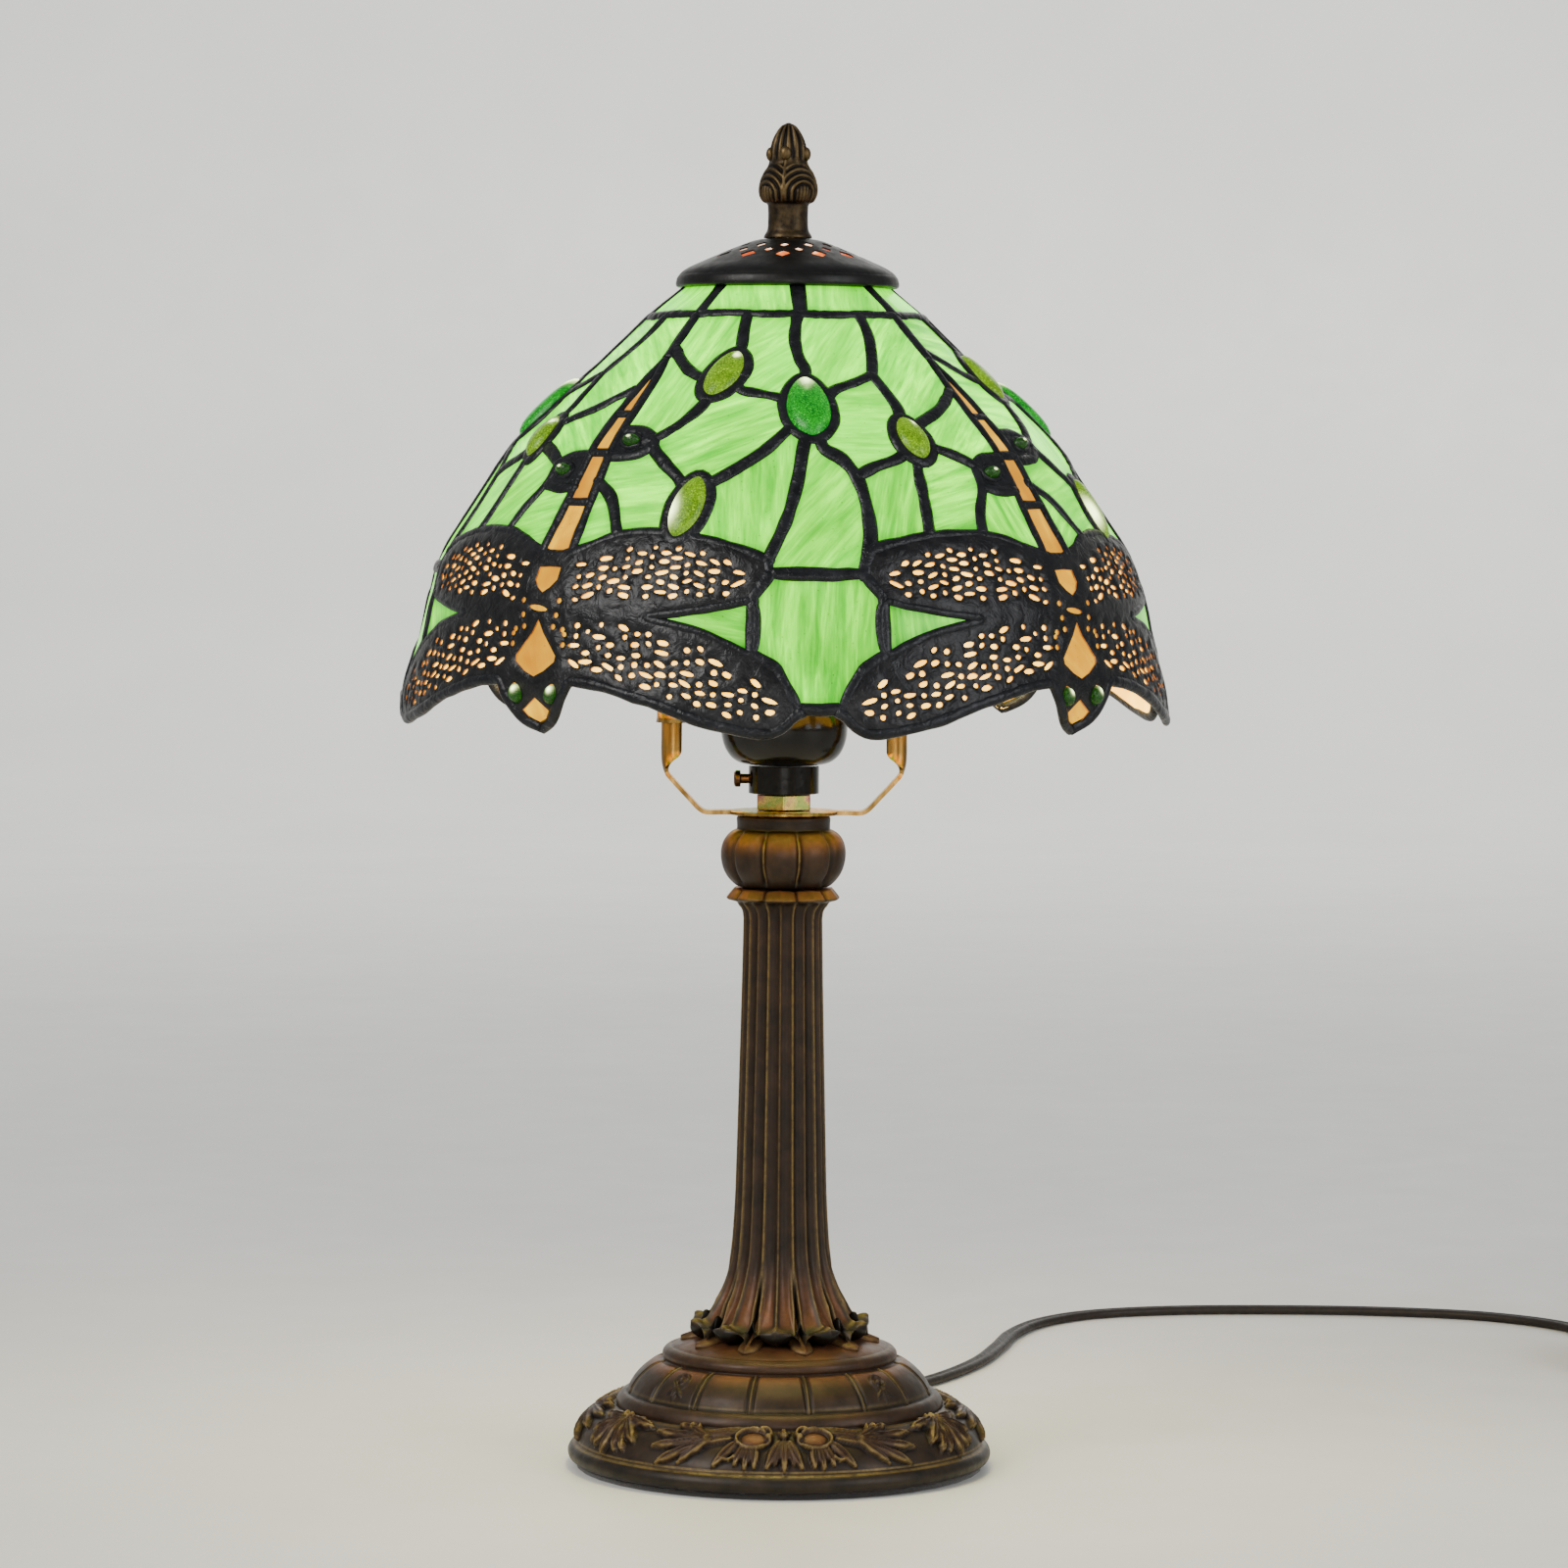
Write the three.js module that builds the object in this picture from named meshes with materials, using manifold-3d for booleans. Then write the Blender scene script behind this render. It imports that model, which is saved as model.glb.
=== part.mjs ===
// Table lamp: a leaded-glass dragonfly shade on a fluted, bronze-finished stem.
// Millimetres, +Z up. The origin is on the table under the lamp's axis, and the front faces -Y.
// Azimuths are degrees from the front towards +X.
import * as THREE from 'three';
import { mergeVertices } from 'three/addons/utils/BufferGeometryUtils.js';
import Module from 'manifold-3d';

const wasm = await Module();
wasm.setup();

// ---------------------------------------------------------------- driving dimensions
const GAP = 0.3; // clearance left between neighbouring pieces

// Base and stem, from the table up
const FELT = { radius: 58.5, top: 1.5 };
const BASE = { radius: 60.8, bottom: FELT.top + GAP, top: 37.2, wallTop: 33.2 };
const ROD = { radius: 5, bore: 3.8, bottom: 11, top: 200.5 };
const ROD_HOLE = ROD.radius + GAP;
const NUT_ACROSS_FLATS = 15.2;
const COLUMN = { bottom: BASE.top + GAP, top: 166.4, petals: 10, tipRadius: 26.2 };
const KNOP = { bottom: COLUMN.top + GAP, top: 187.1, lobes: 10, radius: 18.1 };
const SADDLE = { bottom: KNOP.top + GAP, thick: 1.2, discRadius: 15.7, armWidth: 7.4 };
const LOCK_NUT = { bottom: SADDLE.bottom + SADDLE.thick + GAP, top: 193.2 };

// Lampholder and bulb
const SOCKET = { bottom: LOCK_NUT.top + GAP, capTop: 201.4, capRadius: 10.2, top: 238, radius: 18.2 };
const SCREW = { z: 197.6, headRadius: 2.4, shaftRadius: 1.4, headEnd: 14.3, headStart: 12.4, tip: 5.6 };
const BULB = { bottom: 212.9, capTop: 240, top: 317.5, radius: 30, threadRadius: 13.05 };

// Harp: the wire loop that carries the shade
const HARP = { legX: 31.2, wireRadius: 1.6, legBottom: 206, top: 344 };
const TUBE = { outer: 3.7, inner: 2.7, bottom: 202.5, top: 216 };
const FERRULE = { bottom: 213.6, top: 220.4, radius: 5.2 };
const STUD = { bottom: HARP.top + HARP.wireRadius + GAP, flangeTop: 348, radius: 3.1, top: 360 };
const STUD_HOLE = STUD.radius + GAP;
const SEAT = { bottom: STUD.flangeTop + GAP, top: 349.5, radius: 7.8 };

// Shade: four equal sectors, each with a dragonfly between two centre panes
const SECTORS = 4;
const HALF_SECTOR = 180 / SECTORS;
const SHADE_TURN = 5; // azimuth of the front sector's centre
const GLASS = 3; // thickness of glass with its solder lines
const CROWN = { bottom: 330, top: 339 };
const TAIL_TOP = 313;
const CENTRE_PANE_HALF = 8.4; // degrees
const JEWEL = { z: 303.4, halfWidth: 5.8, halfLength: 10.5, dome: 4 };
const CAP = { bottom: SEAT.top + GAP, top: 351.4, rimRadius: 31.8 };
const FINIAL = { bottom: CAP.top + GAP, top: 384.4 };

// Supply cord: flat two-core lead, 5.3 x 2.7
const CORD = { width: 5.3, thick: 2.7, restZ: 1.6, exitAzimuth: 170 };
const RELIEF = { inner: 51, outer: 82, z: 4.6, halfWidth: 5, endHalfWidth: 3.7, flat: 0.55 };
const SWITCH = { x: 272, y: 195, length: 58, width: 24, height: 15, rockerZ: 12.6 };
const COIL = { x: 311.9, y: 95, inner: 20.6, outer: 42.7, bottom: 1, top: 6.9 };
const PLUG = { x: 272, top: 60, length: 28, width: 24, height: 13, z: 6.9 };

// ---------------------------------------------------------------- geometry helpers
const radians = THREE.MathUtils.degToRad;
const lerp = THREE.MathUtils.lerp;

// A copy with shared vertices merged, empty triangles dropped and all faces pointing out.
function closed(geometry) {
  const bare = geometry.clone();
  bare.deleteAttribute('normal');
  bare.deleteAttribute('uv');
  const merged = mergeVertices(bare, 1e-4);
  const place = merged.attributes.position;
  const kept = [];
  let volume = 0;
  const corner = [0, 1, 2].map(() => new THREE.Vector3());
  for (let i = 0; i < merged.index.count; i += 3) {
    const ids = [0, 1, 2].map((k) => merged.index.getX(i + k));
    if (new Set(ids).size < 3) continue;
    ids.forEach((id, k) => corner[k].fromBufferAttribute(place, id));
    volume += corner[0].dot(corner[1].clone().cross(corner[2]));
    kept.push(...ids);
  }
  if (volume < 0) kept.reverse();
  merged.setIndex(new THREE.BufferAttribute(new Uint32Array(kept), 1));
  return merged;
}

function solid(geometry) {
  const whole = closed(geometry);
  const vertProperties = whole.attributes.position.array;
  const triVerts = whole.index.array;
  return new wasm.Manifold(new wasm.Mesh({ numProp: 3, vertProperties, triVerts }));
}

function geometryOf(manifold) {
  const { vertProperties, triVerts } = manifold.getMesh();
  const geometry = new THREE.BufferGeometry();
  geometry.setAttribute('position', new THREE.BufferAttribute(vertProperties, 3));
  geometry.setIndex(new THREE.BufferAttribute(triVerts, 1));
  return geometry;
}

const cut = (geometry, tools) =>
  geometryOf(tools.reduce((left, tool) => left.subtract(solid(tool)), solid(geometry)));
const join = (geometries) => geometryOf(geometries.map(solid).reduce((a, b) => a.add(b)));

// A turned solid. The profile is a list of [radius, height]; one that misses the axis is closed.
function lathe(profile, segments = 18) {
  const points = profile.map(([r, z]) => new THREE.Vector2(r, z));
  const [first] = points;
  if (first.x > 0) points.push(first.clone());
  return new THREE.LatheGeometry(points, segments).rotateX(Math.PI / 2);
}

// Presses lobes into a turned solid: `depthAt(z)` is how deep the valleys are, as a share of radius.
function lobed(geometry, count, bore, depthAt) {
  const place = geometry.attributes.position;
  for (let i = 0; i < place.count; i++) {
    const [x, y, z] = [place.getX(i), place.getY(i), place.getZ(i)];
    if (Math.hypot(x, y) < bore + GAP) continue;
    const wave = 0.5 - 0.5 * Math.cos(count * Math.atan2(x, -y));
    const scale = 1 - depthAt(z) * wave;
    place.setXY(i, x * scale, y * scale);
  }
  return geometry;
}

const ring = (inner, outer, bottom, top, segments = 18) =>
  lathe([[inner, bottom], [outer, bottom], [outer, top], [inner, top]], segments);

// A flat plate between two heights, with an optional round hole.
function plate(shape, bottom, top, hole = 0) {
  if (hole) shape.holes.push(new THREE.Path().absarc(0, 0, hole, 0, 2 * Math.PI, true));
  const options = { depth: top - bottom, bevelEnabled: false, curveSegments: 8 };
  return new THREE.ExtrudeGeometry(shape, options).translate(0, 0, bottom);
}

function polygon(sides, radius) {
  const corners = Array.from({ length: sides }, (_, i) => {
    const angle = (2 * Math.PI * i) / sides - Math.PI / 2;
    return new THREE.Vector2(radius * Math.cos(angle), radius * Math.sin(angle));
  });
  return new THREE.Shape(corners);
}

const hexNut = (across, bottom, top) => plate(polygon(6, across / Math.sqrt(3)), bottom, top, ROD_HOLE);

// The outline of a bent strip, from its centre line.
function ribbon(points, thick) {
  const line = points.map(([x, y]) => new THREE.Vector2(x, y));
  const side = (sign) => line.map((point, i) => {
    const before = line[Math.max(i - 1, 0)];
    const after = line[Math.min(i + 1, line.length - 1)];
    const along = after.clone().sub(before).normalize();
    return new THREE.Vector2(-along.y, along.x).multiplyScalar((sign * thick) / 2).add(point);
  });
  return new THREE.Shape([...side(1), ...side(-1).reverse()]);
}

// A bar of constant section along a smooth curve.
function tube(points, section, steps) {
  const line = points.map((point) => new THREE.Vector3(...point));
  const extrudePath = new THREE.CatmullRomCurve3(line, false, 'centripetal');
  return new THREE.ExtrudeGeometry(section, { steps, extrudePath, bevelEnabled: false });
}

function flatCordSection() {
  const [w, t] = [CORD.width / 2, CORD.thick / 2];
  const corner = 0.7;
  const outline = [
    [t, w - corner], [t - corner, w], [corner - t, w], [-t, w - corner],
    [-t, corner - w], [corner - t, -w], [t - corner, -w], [t, corner - w],
  ];
  return new THREE.Shape(outline.map(([x, y]) => new THREE.Vector2(x, y)));
}

const polar = (radius, azimuth, z) =>
  [radius * Math.sin(radians(azimuth)), -radius * Math.cos(radians(azimuth)), z];

// Straight-line interpolation in a list of [input, output] pairs with rising inputs.
function along(pairs, value) {
  const end = pairs.findIndex(([x]) => x >= value);
  if (end === 0) return pairs[0][1];
  if (end < 0) return pairs.at(-1)[1];
  const [x0, y0] = pairs[end - 1];
  const [x1, y1] = pairs[end];
  return lerp(y0, y1, (value - x0) / (x1 - x0));
}

// ---------------------------------------------------------------- materials
const material = (color, roughness, metalness, extra = {}) =>
  new THREE.MeshStandardMaterial({ color, roughness, metalness, ...extra });
const bronze = material(0x4a3526, 0.5, 0.35);
const felt = material(0x111111, 1, 0);
const iron = material(0x3d3d3f, 0.7, 0.6);
const zincSteel = material(0xb59a5a, 0.3, 0.9);
const brass = material(0xc0914a, 0.3, 0.9);
const blackPlastic = material(0x0c0b0b, 0.2, 0);
const porcelain = material(0xe8e4da, 0.3, 0);
const bulbGlass = material(0xfff3dd, 0.2, 0, { transparent: true, opacity: 0.6 });
const greenGlass = material(0x74dd55, 0.25, 0);
const amberGlass = material(0xffa31a, 0.25, 0);
const wingMetal = material(0x2b2723, 0.5, 0.5);
const emerald = material(0x1f9a1f, 0.1, 0);
const agedBrass = material(0x5d4c30, 0.45, 0.7);
const cordPlastic = material(0x1c1613, 0.5, 0);

const lamp = new THREE.Group();
function add(name, geometry, look) {
  const mesh = new THREE.Mesh(closed(geometry), look);
  mesh.name = name;
  lamp.add(mesh);
}

// ---------------------------------------------------------------- base and stem
function baseCasting() {
  const rim = [[58, BASE.bottom], [60.2, 2.6], [BASE.radius, 4.4], [58.8, 7]];
  const leafBand = [[56, 11.5], [51, 16]];
  const lowerRing = [[45.2, 19.6], [44.4, 21.6]];
  const panels = [[42.2, 23.4], [39.4, 27.6], [33.6, 30.8]];
  const dome = [[33.1, 32.8], [30.6, 35.2], [22, BASE.top], [ROD_HOLE, BASE.top]];
  const inside = [
    [ROD_HOLE, BASE.wallTop], [24, BASE.wallTop], [33.5, 27.5], [38, 24], [41, 18.6],
    [54, 8.6], [56, 5], [56, BASE.bottom],
  ];
  const casting = lathe([...rim, ...leafBand, ...lowerRing, ...panels, ...dome, ...inside], 32);
  const notchWidth = 2 * (RELIEF.halfWidth + GAP);
  const notchTop = RELIEF.z + RELIEF.halfWidth * RELIEF.flat + GAP;
  const notch = new THREE.BoxGeometry(notchWidth, 12, 2 * notchTop);
  notch.translate(0, -BASE.radius + 2, 0).rotateZ(radians(CORD.exitAzimuth));
  return cut(casting, [notch]);
}

function baseWeight() {
  const [bottom, top] = [20, BASE.wallTop - GAP];
  return lathe([[ROD_HOLE, bottom], [36, bottom], [36, 23.4], [23, top], [ROD_HOLE, top]], 24);
}

function column() {
  const foot = [[22, COLUMN.bottom], [COLUMN.tipRadius, 40], [24.6, 42.2]];
  const flare = [[20, 46], [16.8, 51], [13.9, 61], [12.6, 80], [11.2, 140], [10.9, 158]];
  const calyx = [[12.2, 161.8], [16.5, 164.4], [15.4, COLUMN.top]];
  const profile = [[ROD_HOLE, COLUMN.bottom], ...foot, ...flare, ...calyx, [ROD_HOLE, COLUMN.top]];
  const depths = [[40, 0.16], [46, 0.1], [61, 0.07], [160, 0.07], [164, 0.12]];
  return lobed(lathe(profile, 4 * COLUMN.petals), COLUMN.petals, ROD_HOLE, (z) => along(depths, z));
}

function knop() {
  const profile = [
    [ROD_HOLE, KNOP.bottom], [12.6, KNOP.bottom], [16, 169.8], [KNOP.radius, 175.6], [17.2, 180],
    [14.4, 182.8], [13.4, 183.4], [13.4, KNOP.top], [ROD_HOLE, KNOP.top],
  ];
  const depths = [[167, 0.02], [171, 0.06], [180, 0.06], [183, 0]];
  return lobed(lathe(profile, 4 * KNOP.lobes), KNOP.lobes, ROD_HOLE, (z) => along(depths, z));
}

add('felt_pad', lathe([[0, 0], [FELT.radius, 0], [FELT.radius, FELT.top], [0, FELT.top]], 36), felt);
add('base_casting', baseCasting(), bronze);
add('base_weight', baseWeight(), iron);
add('base_washer', ring(ROD_HOLE, 12, 18.2, 19.7), iron);
add('base_nut', hexNut(NUT_ACROSS_FLATS, 12.9, 17.9), zincSteel);
add('threaded_rod', ring(ROD.bore, ROD.radius, ROD.bottom, ROD.top, 16), zincSteel);
add('column', column(), bronze);
add('knop', knop(), bronze);
add('lock_nut', hexNut(NUT_ACROSS_FLATS, LOCK_NUT.bottom, LOCK_NUT.top), zincSteel);

// ---------------------------------------------------------------- harp saddle
// Each arm rises outwards and ends in an upright half tube, open towards the axis.
function saddleArm(side) {
  const middle = SADDLE.bottom + SADDLE.thick / 2;
  const wall = (TUBE.outer + TUBE.inner) / 2;
  const outerX = HARP.legX + wall;
  const line = [[10, middle], [23.2, middle], [32.2, 198.2], [outerX, 201.8], [outerX, 207]];
  const strip = new THREE.ExtrudeGeometry(ribbon(line, TUBE.outer - TUBE.inner), {
    depth: SADDLE.armWidth, bevelEnabled: false,
  }).rotateX(Math.PI / 2).translate(0, SADDLE.armWidth / 2, 0);
  const openHalf = radians(130);
  const half = new THREE.Shape().absarc(0, 0, TUBE.outer, -openHalf, openHalf, false);
  half.absarc(0, 0, TUBE.inner, openHalf, -openHalf, true);
  const upright = plate(half, TUBE.bottom, TUBE.top).translate(HARP.legX, 0, 0);
  return [strip, upright].map((piece) => piece.rotateZ(side > 0 ? 0 : Math.PI));
}

function saddle() {
  const disc = new THREE.Shape().absarc(0, 0, SADDLE.discRadius, 0, 2 * Math.PI, false);
  const hub = plate(disc, SADDLE.bottom, SADDLE.bottom + SADDLE.thick);
  const bore = new THREE.CylinderGeometry(ROD_HOLE, ROD_HOLE, 20, 24).rotateX(Math.PI / 2);
  const whole = join([hub, ...saddleArm(1), ...saddleArm(-1)]);
  return cut(whole, [bore.translate(0, 0, SADDLE.bottom)]);
}

add('harp_saddle', saddle(), brass);

// ---------------------------------------------------------------- lampholder
function socketCap() {
  const body = ring(ROD_HOLE, SOCKET.capRadius, SOCKET.bottom, SOCKET.capTop);
  const reach = SCREW.shaftRadius + GAP;
  const hole = new THREE.CylinderGeometry(reach, reach, 12, 12).rotateZ(Math.PI / 2);
  return cut(body, [hole.translate(-8, 0, SCREW.z)]);
}

function setScrew() {
  const profile = [
    [0, SCREW.tip], [SCREW.shaftRadius, SCREW.tip], [SCREW.shaftRadius, SCREW.headStart],
    [SCREW.headRadius, SCREW.headStart], [SCREW.headRadius, SCREW.headEnd - 0.4],
    [SCREW.headRadius - 0.6, SCREW.headEnd], [0, SCREW.headEnd],
  ];
  return lathe(profile, 12).rotateY(-Math.PI / 2).translate(0, 0, SCREW.z);
}

function socketShell() {
  const outside = [
    [9, SOCKET.capTop + GAP], [13, 202.4], [16.4, 205.4], [18.1, 209.6], [SOCKET.radius, 213],
    [17.4, 217], [16.9, 221], [16.9, SOCKET.top],
  ];
  const inside = [
    [15.5, SOCKET.top], [15.5, 220], [16.2, 213], [15.9, 210], [14.2, 207.2], [11.6, 205], [9, 203.8],
  ];
  return lathe([...outside, ...inside], 18);
}

function socketInsulator() {
  const rim = SOCKET.top - 1.5;
  return lathe([[0, 207.6], [12.8, 207.6], [15.1, 211], [15.1, rim], [14.3, rim], [14.3, 211.8], [0, 211.8]]);
}

add('socket_cap', socketCap(), blackPlastic);
add('set_screw', setScrew(), brass);
add('socket_shell', socketShell(), blackPlastic);
add('socket_insulator', socketInsulator(), porcelain);
add('screw_shell', ring(BULB.threadRadius + GAP, 14, 213, 235.5), brass);
add('centre_contact', lathe([[0, 212.1], [3.8, 212.1], [3.8, 212.6], [0, 212.6]], 12), brass);

// ---------------------------------------------------------------- bulb
function bulbCap() {
  const { bottom, threadRadius, capTop } = BULB;
  return lathe([
    [0, bottom], [4.5, bottom], [6.5, 214.4], [12.6, 216.4], [threadRadius, 217.6],
    [threadRadius, capTop - 2], [13.6, capTop - 1], [13.6, capTop], [0, capTop],
  ]);
}

// Frosted glass, 1 mm thick and open at its neck.
function bulbEnvelope() {
  const bottom = BULB.capTop + GAP;
  const outside = [
    [13.4, bottom], [14.6, 246], [18.5, 256], [25, 268], [29.2, 280], [BULB.radius, 288],
    [28.2, 299], [22.5, 308.5], [13, 315], [0, BULB.top],
  ];
  const inside = outside.map(([r, z]) => [Math.max(r - 0.9, 0), z < 280 ? z : z - 0.9]);
  return lathe([...outside.reverse(), ...inside], 16);
}

add('bulb_cap', bulbCap(), zincSteel);
add('bulb_glass', bulbEnvelope(), bulbGlass);

// ---------------------------------------------------------------- harp
// The legs stand in the saddle's half tubes; the loop clears the bulb and closes under the stud.
function harpWire() {
  const { legX, legBottom, top } = HARP;
  const right = [
    [legX, 0, legBottom], [legX, 0, 222], [legX, 0, 236], [35.4, 0, 252], [38, 0, 272],
    [36, 0, 297], [28, 0, 321], [17, 0, 337], [8, 0, top - 0.8], [0, 0, top],
  ];
  const left = right.slice(0, -1).map(([x, y, z]) => [-x, y, z]);
  return tube([...right, ...left.reverse()], polygon(8, HARP.wireRadius), 36);
}

function harpStud() {
  const { bottom, flangeTop, radius, top } = STUD;
  return lathe([[0, bottom], [6, bottom], [6, flangeTop], [radius, flangeTop], [radius, top - 0.5],
    [radius - 0.6, top], [0, top]], 16);
}

function ferrule(side) {
  const [bore, wireHole] = [TUBE.outer + GAP, HARP.wireRadius + GAP];
  const { bottom, top, radius } = FERRULE;
  return lathe([
    [bore, bottom], [radius + 0.3, bottom], [radius, bottom + 1.4], [radius, top - 1.2],
    [radius - 1.4, top], [wireHole, top], [wireHole, top - 2], [bore, top - 3],
  ], 12).translate(side * HARP.legX, 0, 0);
}

add('harp_wire', harpWire(), brass);
add('harp_stud', harpStud(), brass);
add('ferrule_left', ferrule(-1), brass);
add('ferrule_right', ferrule(1), brass);
add('shade_seat', ring(STUD_HOLE, SEAT.radius, SEAT.bottom, SEAT.top), brass);

// ---------------------------------------------------------------- shade
// Outside radius of the glass at each height.
const SHADE_PROFILE = [
  [213, 110.6], [219.5, 110], [225, 109.2], [233, 107], [241, 105.1], [252, 102.6], [263.5, 98],
  [273, 91.9], [284.5, 84.4], [293, 78.6], [305, 66.4], [316.5, 53.8], [322.6, 47.4],
  [330, 39.8], [337, 31.4], [339, 29],
];
// Height of the seam over the wings, by degrees from the dragonfly's axis.
const WING_TOP = [
  [0, 264], [4, 264], [9, 267.5], [22, 267.5], [32, 264.7], [36.6, 261], [38, 259.8], [45, 258.5],
];
// Height of the hem: the head hangs down on the axis and the lower wing ends in a low tip.
const HEM = [
  [0, 215.3], [4, 220.5], [6.9, 228.5], [9, 228], [16, 225.5], [22, 222.3], [27, 219.3], [32, 217],
  [36.6, 215.2], [38, 215], [40, 216.5], [41.5, 221], [45, 222.5],
];
// Offsets at which neighbouring sheets share their corners, so that their seams run alike.
const WING_STEPS = [0, 4, 6.9, 9, 16, 22, 27, 32, HALF_SECTOR - CENTRE_PANE_HALF];
const PANE_STEPS = [0, 3.5, 5, 7, CENTRE_PANE_HALF];
const FIELD_STEPS = [0, 7, CENTRE_PANE_HALF, 13, 18, 23, 29, 36, 41, HALF_SECTOR];
// Shares of the height at which the sheets have rows; two of the field's bracket the tail's tip.
const FIELD_LEVELS = [0, 0.2, 0.47, 0.743, 0.809, 1];
const LOWER_LEVELS = [0, 0.33, 0.66, 1];
const bothSides = (steps) => [...steps.slice(1).map((step) => -step).reverse(), ...steps];
// Half width of the tail in degrees, by height.
const TAIL_HALF = [[262, 3.2], [TAIL_TOP, 2.2], [TAIL_TOP + 4, 0]];

function shadePoint(azimuth, z, depth = 0) {
  const step = 2;
  const rise = along(SHADE_PROFILE, z + step) - along(SHADE_PROFILE, z - step);
  const normal = new THREE.Vector2(2 * step, -rise).normalize();
  return polar(along(SHADE_PROFILE, z) - depth * normal.x, azimuth, z - depth * normal.y);
}

const halfGapAngle = (z) => THREE.MathUtils.radToDeg(GAP / 1.4 / along(SHADE_PROFILE, z));

// A curved sheet of glass on a grid: `place(offset, v)` gives the azimuth and height of each point.
function pane(offsets, levels, place) {
  const positions = [];
  const index = [];
  const columns = offsets.length - 1;
  const rows = levels.length - 1;
  const row = columns + 1;
  const inner = row * (rows + 1);
  for (const depth of [0, GLASS]) {
    for (const v of levels) {
      for (const offset of offsets) positions.push(...shadePoint(...place(offset, v), depth));
    }
  }
  const quad = (a, b, c, d) => index.push(a, b, c, a, c, d);
  for (let j = 0; j < rows; j++) {
    for (let i = 0; i < columns; i++) {
      const a = j * row + i;
      quad(a, a + 1, a + row + 1, a + row);
      quad(inner + a, inner + a + row, inner + a + row + 1, inner + a + 1);
    }
    const [left, right] = [j * row, j * row + columns];
    quad(left, left + row, inner + left + row, inner + left);
    quad(right + row, right, inner + right, inner + right + row);
  }
  for (let i = 0; i < columns; i++) {
    const top = rows * row + i;
    quad(i + 1, i, inner + i, inner + i + 1);
    quad(top, top + 1, inner + top + 1, inner + top);
  }
  const geometry = new THREE.BufferGeometry();
  geometry.setAttribute('position', new THREE.Float32BufferAttribute(positions, 3));
  geometry.setIndex(index);
  return geometry;
}

const fromAxis = (offset) => HALF_SECTOR - Math.abs(offset); // degrees to the nearer dragonfly

// Puts a shape, modelled flat with +Z outwards and +Y up the slope, onto the glass.
function ontoShade(geometry, azimuth, z, depth = 0) {
  const point = (inwards) => new THREE.Vector3(...shadePoint(azimuth, z, inwards));
  const outward = point(-1).sub(point(0));
  const across = new THREE.Vector3(Math.cos(radians(azimuth)), Math.sin(radians(azimuth)), 0);
  const up = outward.clone().cross(across);
  return geometry.applyMatrix4(new THREE.Matrix4().makeBasis(across, up, outward).setPosition(point(depth)));
}

function fieldPanel(centre) {
  const sheet = pane(bothSides(FIELD_STEPS), FIELD_LEVELS, (offset, v) => {
    const z = lerp(along(WING_TOP, fromAxis(offset)) + GAP, CROWN.bottom - GAP / 2, v);
    const reach = HALF_SECTOR - along(TAIL_HALF, z) - halfGapAngle(z);
    return [centre + THREE.MathUtils.clamp(offset, -reach, reach), z];
  });
  const hole = new THREE.CylinderGeometry(1, 1, 4 * GLASS, 14).rotateX(Math.PI / 2);
  hole.scale(JEWEL.halfWidth + GAP, JEWEL.halfLength + GAP, 1);
  return cut(sheet, [ontoShade(hole, centre, JEWEL.z)]);
}

function centreJewel(centre) {
  const gem = new THREE.SphereGeometry(1, 12, 6).rotateX(Math.PI / 2);
  return ontoShade(gem.scale(JEWEL.halfWidth, JEWEL.halfLength, JEWEL.dome), centre, JEWEL.z, GLASS / 2);
}

function dragonflyWings(axis) {
  const edge = WING_STEPS.at(-1);
  return pane(bothSides(WING_STEPS), LOWER_LEVELS, (offset, v) => {
    const distance = Math.abs(offset);
    const z = lerp(along(HEM, distance), along(WING_TOP, distance) - GAP / 2, v);
    const reach = edge - halfGapAngle(z);
    return [axis + THREE.MathUtils.clamp(offset, -reach, reach), z];
  });
}

const dragonflyTail = (axis) => pane([-1, 0, 1], [0, 0.25, 0.5, 0.75, 1], (side, v) => {
  const z = lerp(WING_TOP[0][1] + GAP, TAIL_TOP, v);
  return [axis + side * (along(TAIL_HALF, z) - halfGapAngle(z)), z];
});

const centrePane = (centre) => pane(bothSides(PANE_STEPS), LOWER_LEVELS, (offset, v) => {
  const distance = fromAxis(offset);
  const z = lerp(along(HEM, distance), along(WING_TOP, distance) - GAP / 2, v);
  const reach = CENTRE_PANE_HALF - halfGapAngle(z);
  return [centre + THREE.MathUtils.clamp(offset, -reach, reach), z];
});

function crownGlass() {
  const levels = [CROWN.bottom + GAP / 2, 337, CROWN.top];
  const face = (depth) => levels.map((z) => {
    const [, y, height] = shadePoint(0, z, depth);
    return [-y, height];
  });
  return lathe([...face(0), ...face(GLASS).reverse()], 32);
}

// Spun cap, with a ring of diamond vents.
function vaseCap() {
  const { bottom, top, rimRadius } = CAP;
  const outside = [[STUD_HOLE, top], [7, top], [17.4, 348], [28.6, 342.6], [rimRadius, 340.2], [31, 337.6]];
  const inside = [[30.3, 338.8], [27.8, 341.5], [17, 346.8], [8, bottom], [STUD_HOLE, bottom]];
  const [count, radius, size] = [12, 20, 3];
  const vents = Array.from({ length: count }, (_, i) => {
    const vent = new THREE.BoxGeometry(size, size, 8).rotateZ(Math.PI / 4).rotateX(radians(25));
    return vent.translate(0, -radius, 346.6).rotateZ(radians(SHADE_TURN + (360 * i) / count));
  });
  return cut(lathe([...outside, ...inside], 24), vents);
}

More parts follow.
